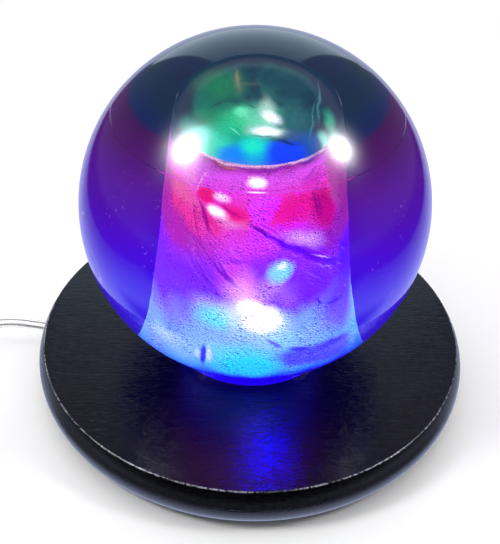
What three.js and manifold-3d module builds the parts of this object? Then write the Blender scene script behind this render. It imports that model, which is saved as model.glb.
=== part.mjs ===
// A ball lamp: a cast resin ball with a lit core stands on a round, black stained wooden plate.
// Millimetres, +Z up, +Y away from the front. The origin is on the table, under the middle of the plate.
import * as THREE from 'three';
import { mergeVertices } from 'three/addons/utils/BufferGeometryUtils.js';
import Module from 'manifold-3d';

const wasm = await Module();
wasm.setup();

// Clearances and fineness
const FIT = 0.3;
const OVERRUN = 5;
const WELD = 0.0001;
const PLATE_SIDES = 64;
const BALL_SIDES = 48;
const BALL_ROWS = 20;
const SMALL_SIDES = 12;
const HALF_TURN = Math.PI;
const FULL_TURN = 2 * Math.PI;

// Wooden plate
const PLATE_RADIUS = 100;
const PLATE_THICKNESS = 20;
const PLATE_TOP_DRAW = 3.1;
const PLATE_WIDEST_DROP = 9.4;
const PLATE_EDGE_ROWS = 6;
const WIRE_HOLE_RADIUS = 8;
const POCKET_MARGIN = 2;

// Underside: cover, its screws and the feet
const COVER_INSET = 12;
const COVER_THICKNESS = 2;
const COVER_SCREW_INSET = 18;
const COVER_SCREW_COUNT = 4;
const COVER_SCREW_FIRST_ANGLE = HALF_TURN / 6;
const PAD_RADIUS = 7;
const PAD_HEIGHT = 1.7;
const PAD_INSET = 10;
const PAD_COUNT = 4;
const PAD_FIRST_ANGLE = HALF_TURN / 4;

// Wood screws
const COVER_SCREW = { headRadius: 3.2, headHeight: 1.6, shankRadius: 1.5, length: 10 };
const BOARD_SCREW = { headRadius: 2.4, headHeight: 1.5, shankRadius: 1.1, length: 8 };
const CLAMP_SCREW = { headRadius: 2.2, headHeight: 1.4, shankRadius: 1.1, length: 13 };
const SWITCH_SCREW = { headRadius: 2.2, headHeight: 1.4, shankRadius: 1.1, length: 9.5 };

// Resin ball with its foot and its core chamber
const BALL_RADIUS = 75;
const FOOT_RADIUS = 38;
const FOOT_HEIGHT = 7.2;
const CORE_SHARE = 0.347;
const CORE_COVER = 38.2;
const CORE_CORNER = 3;
const CORE_CORNER_ROWS = 3;
const SEAT_WIDTH = 5.4;
const SEAT_HEIGHT = 0.6;

// Crumpled film that lines the core
const FILM_THICKNESS = 0.5;
const FILM_RIPPLE = 0.5;
const FILM_SIDES = 32;
const FILM_ROWS = 10;
const CAP_SKIRT = 5;
const FILM_FOLD_COUNTS = [5, 9];
const FILM_FOLD_SHARES = [0.6, 0.4];
const FILM_FOLD_TURNS = [1.3, -2.2];

// Light engine in the core
const BOARD_THICKNESS = 1.6;
const POST_FLATS = 12;
const POST_BORE_RADIUS = 3.4;
const POST_HEADROOM = 14.8;
const POST_SIDES = 6;
const POST_FLANGE_RADIUS = 19;
const POST_FLANGE_THICKNESS = 1.6;
const BOARD_SCREW_CIRCLE_RADIUS = 14.5;
const BOARD_SCREW_COUNT = 3;
const LED_SIDE = 5;
const LED_HEIGHT = 1.2;
const LED_LENS_RADIUS = 1.9;
const LED_LENS_RISE = 1.1;
const LED_FIRST_HEIGHT = 36;
const LED_TOP_MARGIN = 8;
const LED_ROWS = ['blue', 'pink', 'red'];
const LEDS_IN_ROW = 3;

// Driver in the plate's pocket
const DRIVER_LENGTH = 44;
const DRIVER_WIDTH = 36;
const DRIVER_CASE_HEIGHT = 8.8;
const DRIVER_WALL = 1.2;
const DRIVER_LID_THICKNESS = 1;
const CIRCUIT_THICKNESS = 1.2;
const TRANSFORMER = { length: 14, width: 12, height: 4.6 };
const CAPACITOR_RADIUS = 2.3;
const CAPACITOR_LENGTH = 12;
const PART_SPACING = 5;

// Mains wiring in the pocket
const LEAD_ROOM = 4;
const LEAD_RADIUS = 1;
const LEAD_SPACING = 5;
const LEAD_BEND = 3;
const LEAD_STEPS = 6;
const TERMINAL_LENGTH = 18;
const TERMINAL_WIDTH = 16;
const TERMINAL_HEIGHT = 9;
const TERMINAL_WELL_RADIUS = 1.8;
const TERMINAL_WELL_DEPTH = 5;
const CLAMP_GAP = 6;
const CLAMP_WIDTH = 8;
const CLAMP_LENGTH = 18;
const CLAMP_SCREW_OFFSET = 6.3;

// Clear flat twin cord
const CORD_WIDTH = 5.8;
const CORD_THICKNESS = 3.2;
const CORD_STEP_DIAMETERS = 2;
const CORD_ARC_SIDES = 4;
const CORD_GROOVE_LIFT = 4.2;

// The cord's route from the plate's rim to the switch, and from the switch to the coil
const ROUTE_TO_SWITCH = [
  [-98.0, 14, 6.2],
  [-102.5, 14, 6.4],
  [-107.5, 14, 7.1],
  [-113.0, 14, 7.9],
  [-119.0, 14, 8.1],
  [-125.5, 14, 7.4],
  [-132.0, 14, 6.2],
  [-138.4, 14.5, 4.9],
  [-144.9, 16.7, 3.6],
  [-150.3, 20.6, 2.6],
  [-154.6, 25.7, 2.0],
  [-157.0, 31.6, 1.7],
  [-157.6, 38.2, 1.7],
  [-157.6, 51.0, 1.7],
  [-157.6, 64.0, 1.7],
  [-157.6, 77.0, 1.7],
  [-159.4, 86.9, 1.7],
  [-164.4, 94.4, 1.7],
  [-171.9, 99.4, 1.9],
  [-180.8, 101.2, 2.4],
  [-189.7, 99.4, 3.3],
  [-197.2, 94.4, 4.5],
  [-202.2, 86.9, 5.8],
  [-204.0, 80.0, 6.7],
  [-204.0, 75.0, 7.0],
  [-204.0, 70.0, 7.0],
];
const ROUTE_TO_COIL = [
  [-204, 7.4, 7.0],
  [-204, 3.0, 7.0],
  [-204, -2.0, 6.6],
  [-204, -8.0, 5.5],
  [-204, -14.0, 4.4],
  [-204, -18.0, 4.0],
  [-204, -22.0, 4.0],
];

// Coil of the length that is put away
const COIL_RADIUS = 39.5;
const COIL_TURN_GAP = 0.6;
const COIL_LAYER_TURNS = 3.25;
const COIL_CLIMB_TURNS = 0.5;
const COIL_STEPS_PER_TURN = 24;
const COIL_LEAD = 24;
const COIL_LEAD_STEPS = 5;
const TIE_WIDTH = 7;
const TIE_THICKNESS = 0.5;

// Rocker switch on the cord
const SWITCH_LENGTH = 62;
const SWITCH_WIDTH = 26;
const SWITCH_HEIGHT = 15;
const SWITCH_WALL = 1.8;
const SWITCH_CORNER = 8;
const SWITCH_EDGE = 2;
const SWITCH_CORNER_ROWS = 4;
const SWITCH_BOSS_RADIUS = 3;
const SWITCH_SCREW_OFFSET = 21;
const ROCKER_RADIUS = 8;
const ROCKER_WIDTH = 9.6;
const ROCKER_RISE = 4.2;
const ROCKER_DROP = 3;
const ROCKER_CORNER_TURN_SHARE = 0.105;
const ROCKER_TILT_DEGREES = 11;
const ROCKER_PIVOT_DEPTH = 3.5;
const ROCKER_PIN_RADIUS = 1;
const ROCKER_CHEEK = 2;
const ROCKER_CHEEK_REACH = 7;
const CONTACT_LENGTH = 30;
const CONTACT_WIDTH = 6;
const CONTACT_THICKNESS = 0.8;
const CONTACT_POST = 2.4;

// Flat two-pin plug
const PLUG_LENGTH = 36;
const PLUG_WIDTH = 35;
const PLUG_NECK_WIDTH = 15;
const PLUG_THICKNESS = 13.7;
const PLUG_WAIST_SHARE = 0.42;
const RELIEF_LENGTH = 22;
const RELIEF_START_WIDTH = 12;
const RELIEF_START_THICKNESS = 9.5;
const RELIEF_END_GROWTH = 1.4;
const RELIEF_RINGS = 5;
const RELIEF_GROOVE = 0.5;
const RELIEF_GROOVE_SHARES = [0.3, 0.4, 0.7, 0.8];
const RELIEF_ROOT = 0.8;
const PIN_RADIUS = 2;
const PIN_LENGTH = 19;
const PIN_SPACING = 18.6;
const PIN_SOCKET_DEPTH = 6;
const PIN_TIP = 0.8;

// Heights and places that follow from the sizes above
const plateBottom = PAD_HEIGHT + FIT;
const plateTop = plateBottom + PLATE_THICKNESS;
const recessRoof = plateBottom + COVER_THICKNESS + FIT;
const pocketRoof = recessRoof + DRIVER_CASE_HEIGHT + DRIVER_LID_THICKNESS + 3 * FIT;
const cordZ = plateBottom + CORD_GROOVE_LIFT;
const cordExit = new THREE.Vector3(...ROUTE_TO_SWITCH[0]);
const footBottom = plateTop + FIT;
const ballCentre = footBottom + FOOT_HEIGHT + Math.sqrt(BALL_RADIUS ** 2 - FOOT_RADIUS ** 2);
const coreTop = ballCentre + BALL_RADIUS - CORE_COVER;
const coreRadius = BALL_RADIUS * CORE_SHARE;
const seatInner = (coreRadius + FOOT_RADIUS - SEAT_WIDTH) / 2;
const seatOuter = seatInner + SEAT_WIDTH;
const coverRadius = PLATE_RADIUS - COVER_INSET;
const filmRadius = coreRadius - FIT - FILM_RIPPLE;
const boardRadius = filmRadius - FILM_RIPPLE - FILM_THICKNESS - FIT;
const boardBottom = footBottom;
const postBottom = boardBottom + BOARD_THICKNESS + FIT;
const postTop = coreTop - POST_HEADROOM;
const postLength = postTop - postBottom;
const terminalRight = -(WIRE_HOLE_RADIUS + LEAD_ROOM);
const terminalLeft = terminalRight - TERMINAL_LENGTH;
const clampMiddle = terminalLeft - CLAMP_GAP - CLAMP_WIDTH / 2;
const driverLeft = WIRE_HOLE_RADIUS + LEAD_ROOM;
const driverMiddle = driverLeft + DRIVER_LENGTH / 2;
const pocketLeft = clampMiddle - CLAMP_WIDTH / 2 - POCKET_MARGIN;
const pocketRight = driverLeft + DRIVER_LENGTH + POCKET_MARGIN;
const wiringHalf = cordExit.y + Math.max(TERMINAL_WIDTH, CLAMP_LENGTH) / 2;
const pocketHalf = Math.max(DRIVER_WIDTH / 2, wiringHalf) + POCKET_MARGIN;

// Finishes
function finish(color, roughness, metalness = 0) {
  return new THREE.MeshStandardMaterial({ color, roughness, metalness });
}
const wood = finish(0x14121a, 0.35);
const fibre = finish(0x2a2a2c, 0.9);
const felt = finish(0x18181a, 0.95);
const steel = finish(0xb9bcc0, 0.35, 1);
const brass = finish(0xc8a24a, 0.35, 1);
const resin = finish(0x3a2a9c, 0.08);
const film = finish(0xe8a8e8, 0.5);
const silicone = finish(0xd8d8e4, 0.4);
const aluminium = finish(0xc9ccd0, 0.4, 1);
const whiteBoard = finish(0xf2f2ee, 0.5);
const greenBoard = finish(0x1d5a35, 0.6);
const clearCord = finish(0xdadcdc, 0.2);
const whitePlastic = finish(0xf4f4f2, 0.35);
const blackPlastic = finish(0x202022, 0.5);
const redLead = finish(0xb02222, 0.5);
const blackLead = finish(0x1c1c1e, 0.5);
const copper = finish(0xb5653a, 0.4, 1);
const ledFinish = {
  blue: finish(0x2060ff, 0.3),
  pink: finish(0xff60c8, 0.3),
  red: finish(0xff3040, 0.3),
  green: finish(0x30e080, 0.3),
};

const lamp = new THREE.Group();

function add(name, geometry, material, parent = lamp) {
  const mesh = new THREE.Mesh(geometry, material);
  mesh.name = name;
  parent.add(mesh);
  return mesh;
}

// Joins the corners that faces share, and drops faces that have shrunk to a line.
function welded(geometry) {
  const bare = geometry.clone();
  bare.deleteAttribute('normal');
  bare.deleteAttribute('uv');
  const merged = mergeVertices(bare, WELD);
  const corners = merged.index.array;
  const kept = [];
  for (let i = 0; i < corners.length; i += 3) {
    const [a, b, c] = corners.slice(i, i + 3);
    if (a !== b && b !== c && c !== a) kept.push(a, b, c);
  }
  merged.setIndex(kept);
  merged.computeVertexNormals();
  return merged;
}

function toSolid(geometry) {
  const closed = welded(geometry);
  return new wasm.Manifold(new wasm.Mesh({
    numProp: 3,
    vertProperties: new Float32Array(closed.attributes.position.array),
    triVerts: new Uint32Array(closed.index.array),
  }));
}

function toGeometry(solid) {
  const mesh = solid.getMesh();
  const geometry = new THREE.BufferGeometry();
  geometry.setAttribute('position', new THREE.BufferAttribute(new Float32Array(mesh.vertProperties), 3));
  geometry.setIndex(Array.from(mesh.triVerts));
  geometry.computeVertexNormals();
  return geometry;
}

function cut(body, tools) {
  return toGeometry(tools.reduce((left, tool) => left.subtract(toSolid(tool)), toSolid(body)));
}

function joined(pieces) {
  const [first, ...rest] = pieces.map(toSolid);
  return toGeometry(rest.reduce((whole, piece) => whole.add(piece), first));
}

// Basic shapes, each standing on z 0 about the Z axis
function rod(radius, height, sides = SMALL_SIDES) {
  const geometry = new THREE.CylinderGeometry(radius, radius, height, sides);
  return geometry.rotateX(HALF_TURN / 2).translate(0, 0, height / 2);
}

function block(length, width, height) {
  return new THREE.BoxGeometry(length, width, height).translate(0, 0, height / 2);
}

function turned(profile, sides) {
  const points = profile.map(([r, z]) => new THREE.Vector2(r, z));
  return welded(new THREE.LatheGeometry(points, sides).rotateX(HALF_TURN / 2));
}

function extruded(shape, depth, curveSegments = SMALL_SIDES / 4) {
  return welded(new THREE.ExtrudeGeometry(shape, { depth, bevelEnabled: false, curveSegments }));
}

function outline(points) {
  return new THREE.Shape(points.map(([x, y]) => new THREE.Vector2(x, y)));
}

function onCircle(radius, count, firstAngle) {
  const places = [];
  for (let i = 0; i < count; i += 1) {
    const angle = firstAngle + i * FULL_TURN / count;
    places.push([radius * Math.cos(angle), radius * Math.sin(angle)]);
  }
  return places;
}

// Closes a body through rings of corners, which turn anticlockwise as seen from the last ring's side
function skinned(rings) {
  const count = rings[0].length;
  const places = rings.flat().flatMap((corner) => corner.toArray());
  const faces = [];
  for (let i = 0; i + 1 < rings.length; i += 1) {
    for (let k = 0; k < count; k += 1) {
      const a = i * count + k;
      const b = i * count + (k + 1) % count;
      faces.push(a, b, a + count);
      faces.push(b, b + count, a + count);
    }
  }
  const last = (rings.length - 1) * count;
  for (let k = 1; k + 1 < count; k += 1) {
    faces.push(0, k + 1, k);
    faces.push(last, last + k, last + k + 1);
  }
  const body = new THREE.BufferGeometry();
  body.setAttribute('position', new THREE.BufferAttribute(new Float32Array(places), 3));
  body.setIndex(faces);
  body.computeVertexNormals();
  return body;
}

// A screw whose head's outer face is at z 0 and whose shank points up
function screw(size) {
  const shankTop = size.length - size.shankRadius;
  return turned([
    [0, 0],
    [size.headRadius, 0],
    [size.headRadius, size.headHeight / 2],
    [size.shankRadius, size.headHeight],
    [size.shankRadius, shankTop],
    [0, size.length],
  ], SMALL_SIDES);
}

// The hole that such a screw needs, cleared by the fit all round
function screwHole(size, x, y, headZ, down = false) {
  const head = rod(size.headRadius + FIT, size.headHeight + FIT + OVERRUN).translate(0, 0, -OVERRUN);
  const shank = rod(size.shankRadius + FIT, size.length + FIT);
  const hole = joined([head, shank]);
  if (down) hole.rotateX(HALF_TURN);
  return hole.translate(x, y, headZ);
}

// Flat twin cord: its section has its width along y, or along x where the path's frame stands the other way
function cordSection(widthAlongY) {
  const radius = CORD_THICKNESS / 2;
  const middle = CORD_WIDTH / 2 - radius;
  const shape = new THREE.Shape();
  shape.absarc(0, middle, radius, 0, HALF_TURN, false);
  shape.absarc(0, -middle, radius, HALF_TURN, FULL_TURN, false);
  const points = shape.getPoints(CORD_ARC_SIDES);
  return new THREE.Shape(widthAlongY ? points : points.map((p) => new THREE.Vector2(-p.y, p.x)));
}

function cordTube(points) {
  const path = new THREE.CatmullRomCurve3(points);
  const steps = Math.max(1, Math.round(path.getLength() / (CORD_STEP_DIAMETERS * CORD_WIDTH)));
  const frames = path.computeFrenetFrames(steps, false);
  const widthAlongY = Math.abs(frames.binormals[0].z) < Math.abs(frames.normals[0].z);
  const options = { steps, extrudePath: path, bevelEnabled: false };
  return welded(new THREE.ExtrudeGeometry(cordSection(widthAlongY), options));
}

function roundLead(points, steps) {
  const path = new THREE.CatmullRomCurve3(points);
  const shape = new THREE.Shape();
  shape.absarc(0, 0, LEAD_RADIUS, 0, FULL_TURN, false);
  const options = { steps, extrudePath: path, bevelEnabled: false, curveSegments: SMALL_SIDES / 4 };
  return welded(new THREE.ExtrudeGeometry(shape, options));
}

// Wooden plate
function plateEdge() {
  const rows = [];
  for (let i = 0; i <= PLATE_EDGE_ROWS; i += 1) {
    const z = plateBottom + PLATE_THICKNESS * i / PLATE_EDGE_ROWS;
    const fromWidest = (plateTop - PLATE_WIDEST_DROP - z) / PLATE_WIDEST_DROP;
    rows.push([PLATE_RADIUS - PLATE_TOP_DRAW * fromWidest ** 2, z]);
  }
  return rows;
}

const coverScrewCircle = coverRadius - COVER_SCREW_INSET;
const coverScrewPlaces = onCircle(coverScrewCircle, COVER_SCREW_COUNT, COVER_SCREW_FIRST_ANGLE);
const boardScrewPlaces = onCircle(BOARD_SCREW_CIRCLE_RADIUS, BOARD_SCREW_COUNT, HALF_TURN / 2);
const clampScrewPlaces = [-CLAMP_SCREW_OFFSET, CLAMP_SCREW_OFFSET].map((y) => [clampMiddle, cordExit.y + y]);
const boardScrewHead = postBottom + POST_FLANGE_THICKNESS + FIT + BOARD_SCREW.headHeight;
const clampScrewHead = recessRoof + FIT;

function basePlate() {
  const body = turned([[0, plateBottom], ...plateEdge(), [0, plateTop]], PLATE_SIDES);
  const pocket = block(pocketRight - pocketLeft, 2 * pocketHalf, pocketRoof - plateBottom + OVERRUN);
  const groove = block(PLATE_RADIUS + OVERRUN + pocketLeft, CORD_WIDTH + 2 * FIT,
    cordZ + CORD_THICKNESS / 2 + FIT - plateBottom + OVERRUN);
  const grooveMiddle = (pocketLeft - PLATE_RADIUS - OVERRUN) / 2;
  return cut(body, [
    rod(coverRadius + FIT, COVER_THICKNESS + FIT + OVERRUN, PLATE_SIDES)
      .translate(0, 0, plateBottom - OVERRUN),
    pocket.translate((pocketLeft + pocketRight) / 2, 0, plateBottom - OVERRUN),
    groove.translate(grooveMiddle, cordExit.y, plateBottom - OVERRUN),
    rod(WIRE_HOLE_RADIUS, PLATE_THICKNESS + OVERRUN).translate(0, 0, plateBottom),
    ...coverScrewPlaces.map(([x, y]) => screwHole(COVER_SCREW, x, y, plateBottom)),
    ...boardScrewPlaces.map(([x, y]) => screwHole(BOARD_SCREW, x, y, boardScrewHead, true)),
    ...clampScrewPlaces.map(([x, y]) => screwHole(CLAMP_SCREW, x, y, clampScrewHead)),
  ]);
}

function baseCover() {
  const body = rod(coverRadius, COVER_THICKNESS, PLATE_SIDES).translate(0, 0, plateBottom);
  return cut(body, coverScrewPlaces.map(([x, y]) => screwHole(COVER_SCREW, x, y, plateBottom)));
}

// Resin ball: one casting with its foot, open below into the core chamber
function ballProfile() {
  const profile = [[0, coreTop]];
  for (let i = 0; i <= CORE_CORNER_ROWS; i += 1) {
    const angle = HALF_TURN / 2 * (1 - i / CORE_CORNER_ROWS);
    const r = coreRadius - CORE_CORNER + CORE_CORNER * Math.cos(angle);
    profile.push([r, coreTop - CORE_CORNER + CORE_CORNER * Math.sin(angle)]);
  }
  profile.push([coreRadius, footBottom]);
  profile.push([seatInner - FIT, footBottom]);
  profile.push([seatInner - FIT, footBottom + SEAT_HEIGHT + FIT]);
  profile.push([seatOuter + FIT, footBottom + SEAT_HEIGHT + FIT]);
  profile.push([seatOuter + FIT, footBottom]);
  profile.push([FOOT_RADIUS, footBottom]);
  const start = -Math.acos(FOOT_RADIUS / BALL_RADIUS);
  for (let i = 0; i <= BALL_ROWS; i += 1) {
    const angle = start + (HALF_TURN / 2 - start) * i / BALL_ROWS;
    const r = i === BALL_ROWS ? 0 : BALL_RADIUS * Math.cos(angle);
    profile.push([r, ballCentre + BALL_RADIUS * Math.sin(angle)]);
  }
  return profile;
}

function seatRing() {
  return turned([
    [seatInner, footBottom],
    [seatOuter, footBottom],
    [seatOuter, footBottom + SEAT_HEIGHT],
    [seatInner, footBottom + SEAT_HEIGHT],
    [seatInner, footBottom],
  ], PLATE_SIDES);
}

// Film: a thin sleeve whose wall is pushed in and out in slanting folds
const capTop = coreTop - FIT;
const capBottom = capTop - FILM_THICKNESS;
const sleeveTop = coreTop - CORE_CORNER - FIT;
const sleeveHeight = sleeveTop - footBottom;

function filmSleeve() {
  const profile = [];
  for (let i = 0; i <= FILM_ROWS; i += 1) {
    profile.push([filmRadius, footBottom + sleeveHeight * i / FILM_ROWS]);
  }
  for (let i = FILM_ROWS; i >= 0; i -= 1) {
    profile.push([filmRadius - FILM_THICKNESS, footBottom + sleeveHeight * i / FILM_ROWS]);
  }
  profile.push(profile[0]);
  const sleeve = turned(profile, FILM_SIDES);
  const place = sleeve.attributes.position;
  for (let i = 0; i < place.count; i += 1) {
    const angle = Math.atan2(place.getY(i), place.getX(i));
    const rise = (place.getZ(i) - footBottom) / sleeveHeight;
    let push = 0;
    FILM_FOLD_COUNTS.forEach((count, k) => {
      push += FILM_FOLD_SHARES[k] * Math.sin(count * angle + FILM_FOLD_TURNS[k] * FULL_TURN * rise);
    });
    const radius = Math.hypot(place.getX(i), place.getY(i));
    const grown = (radius + FILM_RIPPLE * push) / radius;
    place.setXY(i, place.getX(i) * grown, place.getY(i) * grown);
  }
  sleeve.computeVertexNormals();
  return sleeve;
}

function filmCap() {
  const outer = boardRadius;
  const inner = outer - FILM_THICKNESS;
  const crown = coreRadius - CORE_CORNER - FIT;
  return turned([
    [0, capBottom],
    [crown - FILM_THICKNESS, capBottom],
    [inner, capBottom - CORE_CORNER / 2],
    [inner, capBottom - CAP_SKIRT],
    [outer, capBottom - CAP_SKIRT],
    [outer, capTop - CORE_CORNER],
    [crown, capTop],
    [0, capTop],
  ], FILM_SIDES);
}

// Light engine: round board, six-sided post with a flange, and the LED packages
function ledBoard() {
  const body = rod(boardRadius, BOARD_THICKNESS, FILM_SIDES).translate(0, 0, boardBottom);
  return cut(body, boardScrewPlaces.map(([x, y]) => screwHole(BOARD_SCREW, x, y, boardScrewHead, true)));
}

const postCorner = POST_FLATS / 2 / Math.cos(HALF_TURN / POST_SIDES);
const ledRowPitch = (postLength - LED_FIRST_HEIGHT - LED_TOP_MARGIN) / (LED_ROWS.length - 1);

// The post's section is turned so that one of its flats faces the front.
function postPrism(height) {
  return rod(postCorner, height, POST_SIDES).rotateZ(HALF_TURN / POST_SIDES);
}

function ledPost() {
  const stem = postPrism(postLength).translate(0, 0, postBottom);
  const flange = rod(POST_FLANGE_RADIUS, POST_FLANGE_THICKNESS, FILM_SIDES).translate(0, 0, postBottom);
  const bore = rod(POST_BORE_RADIUS, postLength + 2 * OVERRUN).translate(0, 0, postBottom - OVERRUN);
  const holes = boardScrewPlaces.map(([x, y]) => screwHole(BOARD_SCREW, x, y, boardScrewHead, true));
  return cut(joined([stem, flange]), [bore, ...holes]);
}

function ledPackage() {
  const body = block(LED_SIDE, LED_SIDE, LED_HEIGHT);
  const lens = turned([
    [0, LED_HEIGHT / 2],
    [LED_LENS_RADIUS, LED_HEIGHT / 2],
    [LED_LENS_RADIUS, LED_HEIGHT],
    [LED_LENS_RADIUS / Math.SQRT2, LED_HEIGHT + LED_LENS_RISE / Math.SQRT2],
    [0, LED_HEIGHT + LED_LENS_RISE],
  ], SMALL_SIDES / 2);
  return joined([body, lens]);
}

function addLeds() {
  LED_ROWS.forEach((colour, row) => {
    const height = postBottom + LED_FIRST_HEIGHT + row * ledRowPitch;
    const firstAngle = (row % 2) * FULL_TURN / POST_SIDES - HALF_TURN / 2;
    for (let i = 0; i < LEDS_IN_ROW; i += 1) {
      const angle = firstAngle + i * FULL_TURN / LEDS_IN_ROW;
      const led = add(`led_${colour}_${i + 1}`, ledPackage(), ledFinish[colour]);
      const reach = POST_FLATS / 2 + FIT;
      led.position.set(reach * Math.cos(angle), reach * Math.sin(angle), height);
      led.rotation.set(0, HALF_TURN / 2, angle, 'ZYX');
    }
  });
  add('led_green_top', joined([postPrism(FILM_THICKNESS), ledPackage()]), ledFinish.green)
    .position.z = postTop + FIT;
}

// Driver: a case that is open below, its lid, and the circuit inside
const driverBottom = recessRoof + FIT;
const caseBottom = driverBottom + DRIVER_LID_THICKNESS + FIT;
const circuitBottom = caseBottom + FIT;

function driverCase() {
  const body = block(DRIVER_LENGTH, DRIVER_WIDTH, DRIVER_CASE_HEIGHT);
  const room = block(DRIVER_LENGTH - 2 * DRIVER_WALL, DRIVER_WIDTH - 2 * DRIVER_WALL,
    DRIVER_CASE_HEIGHT - DRIVER_WALL + OVERRUN);
  return cut(body, [room.translate(0, 0, -OVERRUN)]);
}

function addDriver() {
  const driver = new THREE.Group();
  driver.position.x = driverMiddle;
  lamp.add(driver);
  add('driver_case', driverCase(), whitePlastic, driver).position.z = caseBottom;
  add('driver_lid', block(DRIVER_LENGTH, DRIVER_WIDTH, DRIVER_LID_THICKNESS), whitePlastic, driver)
    .position.z = driverBottom;
  const inset = 2 * (DRIVER_WALL + FIT);
  add('driver_circuit', block(DRIVER_LENGTH - inset, DRIVER_WIDTH - inset, CIRCUIT_THICKNESS),
    greenBoard, driver).position.z = circuitBottom;
  const partBottom = circuitBottom + CIRCUIT_THICKNESS + FIT;
  const partReach = (TRANSFORMER.length + PART_SPACING) / 2;
  add('driver_transformer', block(TRANSFORMER.length, TRANSFORMER.width, TRANSFORMER.height),
    blackPlastic, driver).position.set(partReach, 0, partBottom);
  const can = rod(CAPACITOR_RADIUS, CAPACITOR_LENGTH).translate(0, 0, -CAPACITOR_LENGTH / 2);
  const canX = -CAPACITOR_RADIUS - PART_SPACING / 2;
  add('driver_capacitor', can.rotateX(HALF_TURN / 2), blackPlastic, driver)
    .position.set(canX, 0, partBottom + CAPACITOR_RADIUS);
}

// Wiring in the pocket
function terminalBlock() {
  const body = block(TERMINAL_LENGTH, TERMINAL_WIDTH, TERMINAL_HEIGHT);
  const wells = [-LEAD_SPACING / 2, LEAD_SPACING / 2].map((y) => rod(TERMINAL_WELL_RADIUS,
    TERMINAL_WELL_DEPTH + OVERRUN).translate(0, y, -OVERRUN));
  return cut(body, wells).translate((terminalLeft + terminalRight) / 2, cordExit.y, recessRoof + FIT);
}

function cordClamp() {
  const height = pocketRoof - recessRoof - 2 * FIT;
  const body = block(CLAMP_WIDTH, CLAMP_LENGTH, height);
  const wayThrough = block(CLAMP_WIDTH + 2 * OVERRUN, CORD_WIDTH + 2 * FIT, CORD_THICKNESS + 2 * FIT)
    .translate(0, 0, cordZ - CORD_THICKNESS / 2 - FIT - recessRoof - FIT);
  const placed = cut(body, [wayThrough]).translate(clampMiddle, cordExit.y, recessRoof + FIT);
  return cut(placed, clampScrewPlaces.map(([x, y]) => screwHole(CLAMP_SCREW, x, y, clampScrewHead)));
}

function innerCord() {
  const start = new THREE.Vector3(cordExit.x + FIT, cordExit.y, cordZ);
  const end = new THREE.Vector3(terminalLeft - FIT, cordExit.y, cordZ);
  return cordTube([start, end]);
}

function mainsLead(side) {
  const y = cordExit.y + side * LEAD_SPACING / 2;
  const z = recessRoof + FIT + TERMINAL_HEIGHT / 2;
  const start = new THREE.Vector3(terminalRight + FIT, y, z);
  const end = new THREE.Vector3(driverLeft - FIT, y, z);
  return roundLead([start, end], 1);
}

function ledLead(side) {
  const y = side * LEAD_SPACING / 2;
  const z = caseBottom + DRIVER_CASE_HEIGHT / 2;
  const x = WIRE_HOLE_RADIUS / 2;
  return roundLead([
    new THREE.Vector3(driverLeft - FIT, y, z),
    new THREE.Vector3(x + LEAD_BEND, y, z),
    new THREE.Vector3(x, y, z + LEAD_BEND),
    new THREE.Vector3(x, y, boardBottom - FIT),
  ], LEAD_STEPS);
}

// Coil: one unbroken tube that winds in on the lower layer, climbs, and winds out on the upper one
const coilStart = new THREE.Vector3(...ROUTE_TO_COIL[ROUTE_TO_COIL.length - 1]);
const coilLower = TIE_THICKNESS + FIT + CORD_WIDTH / 2;
const coilUpper = coilLower + CORD_WIDTH + COIL_TURN_GAP;
const coilPitch = CORD_THICKNESS + COIL_TURN_GAP;
const coilX = coilStart.x + COIL_RADIUS;
const coilY = coilStart.y - COIL_LEAD;
const coilTurns = 2 * COIL_LAYER_TURNS + COIL_CLIMB_TURNS;
const coilInnerRadius = COIL_RADIUS - coilTurns / 2 * coilPitch;
const plugHeight = PLUG_THICKNESS / 2;

function smooth(share) {
  return share * share * (3 - 2 * share);
}

// Each ring of the coil's tube has a middle, a sideways direction and the share by which it stands on edge.
function coilRings() {
  const rings = [];
  const west = new THREE.Vector3(-1, 0, 0);
  for (let i = 0; i < COIL_LEAD_STEPS; i += 1) {
    const share = i / COIL_LEAD_STEPS;
    const turn = smooth(Math.max(0, (share * COIL_LEAD - CORD_WIDTH) / (COIL_LEAD - CORD_WIDTH)));
    const z = coilStart.z + (coilLower - coilStart.z) * turn;
    const at = new THREE.Vector3(coilStart.x, coilStart.y - FIT - share * (COIL_LEAD - FIT), z);
    rings.push({ at, out: west, edge: turn });
  }
  const steps = Math.round(coilTurns * COIL_STEPS_PER_TURN);
  for (let i = 0; i <= steps; i += 1) {
    const done = coilTurns * i / steps;
    const wound = Math.min(done, coilTurns - done);
    const climb = smooth(Math.min(1, Math.max(0, (done - COIL_LAYER_TURNS) / COIL_CLIMB_TURNS)));
    const radius = COIL_RADIUS - wound * coilPitch;
    const angle = HALF_TURN + FULL_TURN * done;
    const out = new THREE.Vector3(Math.cos(angle), Math.sin(angle), 0);
    const z = coilLower + (coilUpper - coilLower) * climb;
    const at = new THREE.Vector3(coilX + radius * out.x, coilY + radius * out.y, z);
    rings.push({ at, out, edge: 1 });
  }
  for (let i = 1; i <= COIL_LEAD_STEPS; i += 1) {
    const share = i / COIL_LEAD_STEPS;
    const turn = smooth(Math.min(1, share * COIL_LEAD / (COIL_LEAD - CORD_WIDTH)));
    const z = coilUpper + (plugHeight - coilUpper) * turn;
    const at = new THREE.Vector3(coilStart.x, coilY - share * COIL_LEAD, z);
    rings.push({ at, out: west, edge: 1 - turn });
  }
  return rings;
}

const coilCorners = [
  [CORD_WIDTH / 2, 0],
  [CORD_WIDTH / 2 - CORD_THICKNESS / 2, CORD_THICKNESS / 2],
  [CORD_THICKNESS / 2 - CORD_WIDTH / 2, CORD_THICKNESS / 2],
  [-CORD_WIDTH / 2, 0],
  [CORD_THICKNESS / 2 - CORD_WIDTH / 2, -CORD_THICKNESS / 2],
  [CORD_WIDTH / 2 - CORD_THICKNESS / 2, -CORD_THICKNESS / 2],
];

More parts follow.
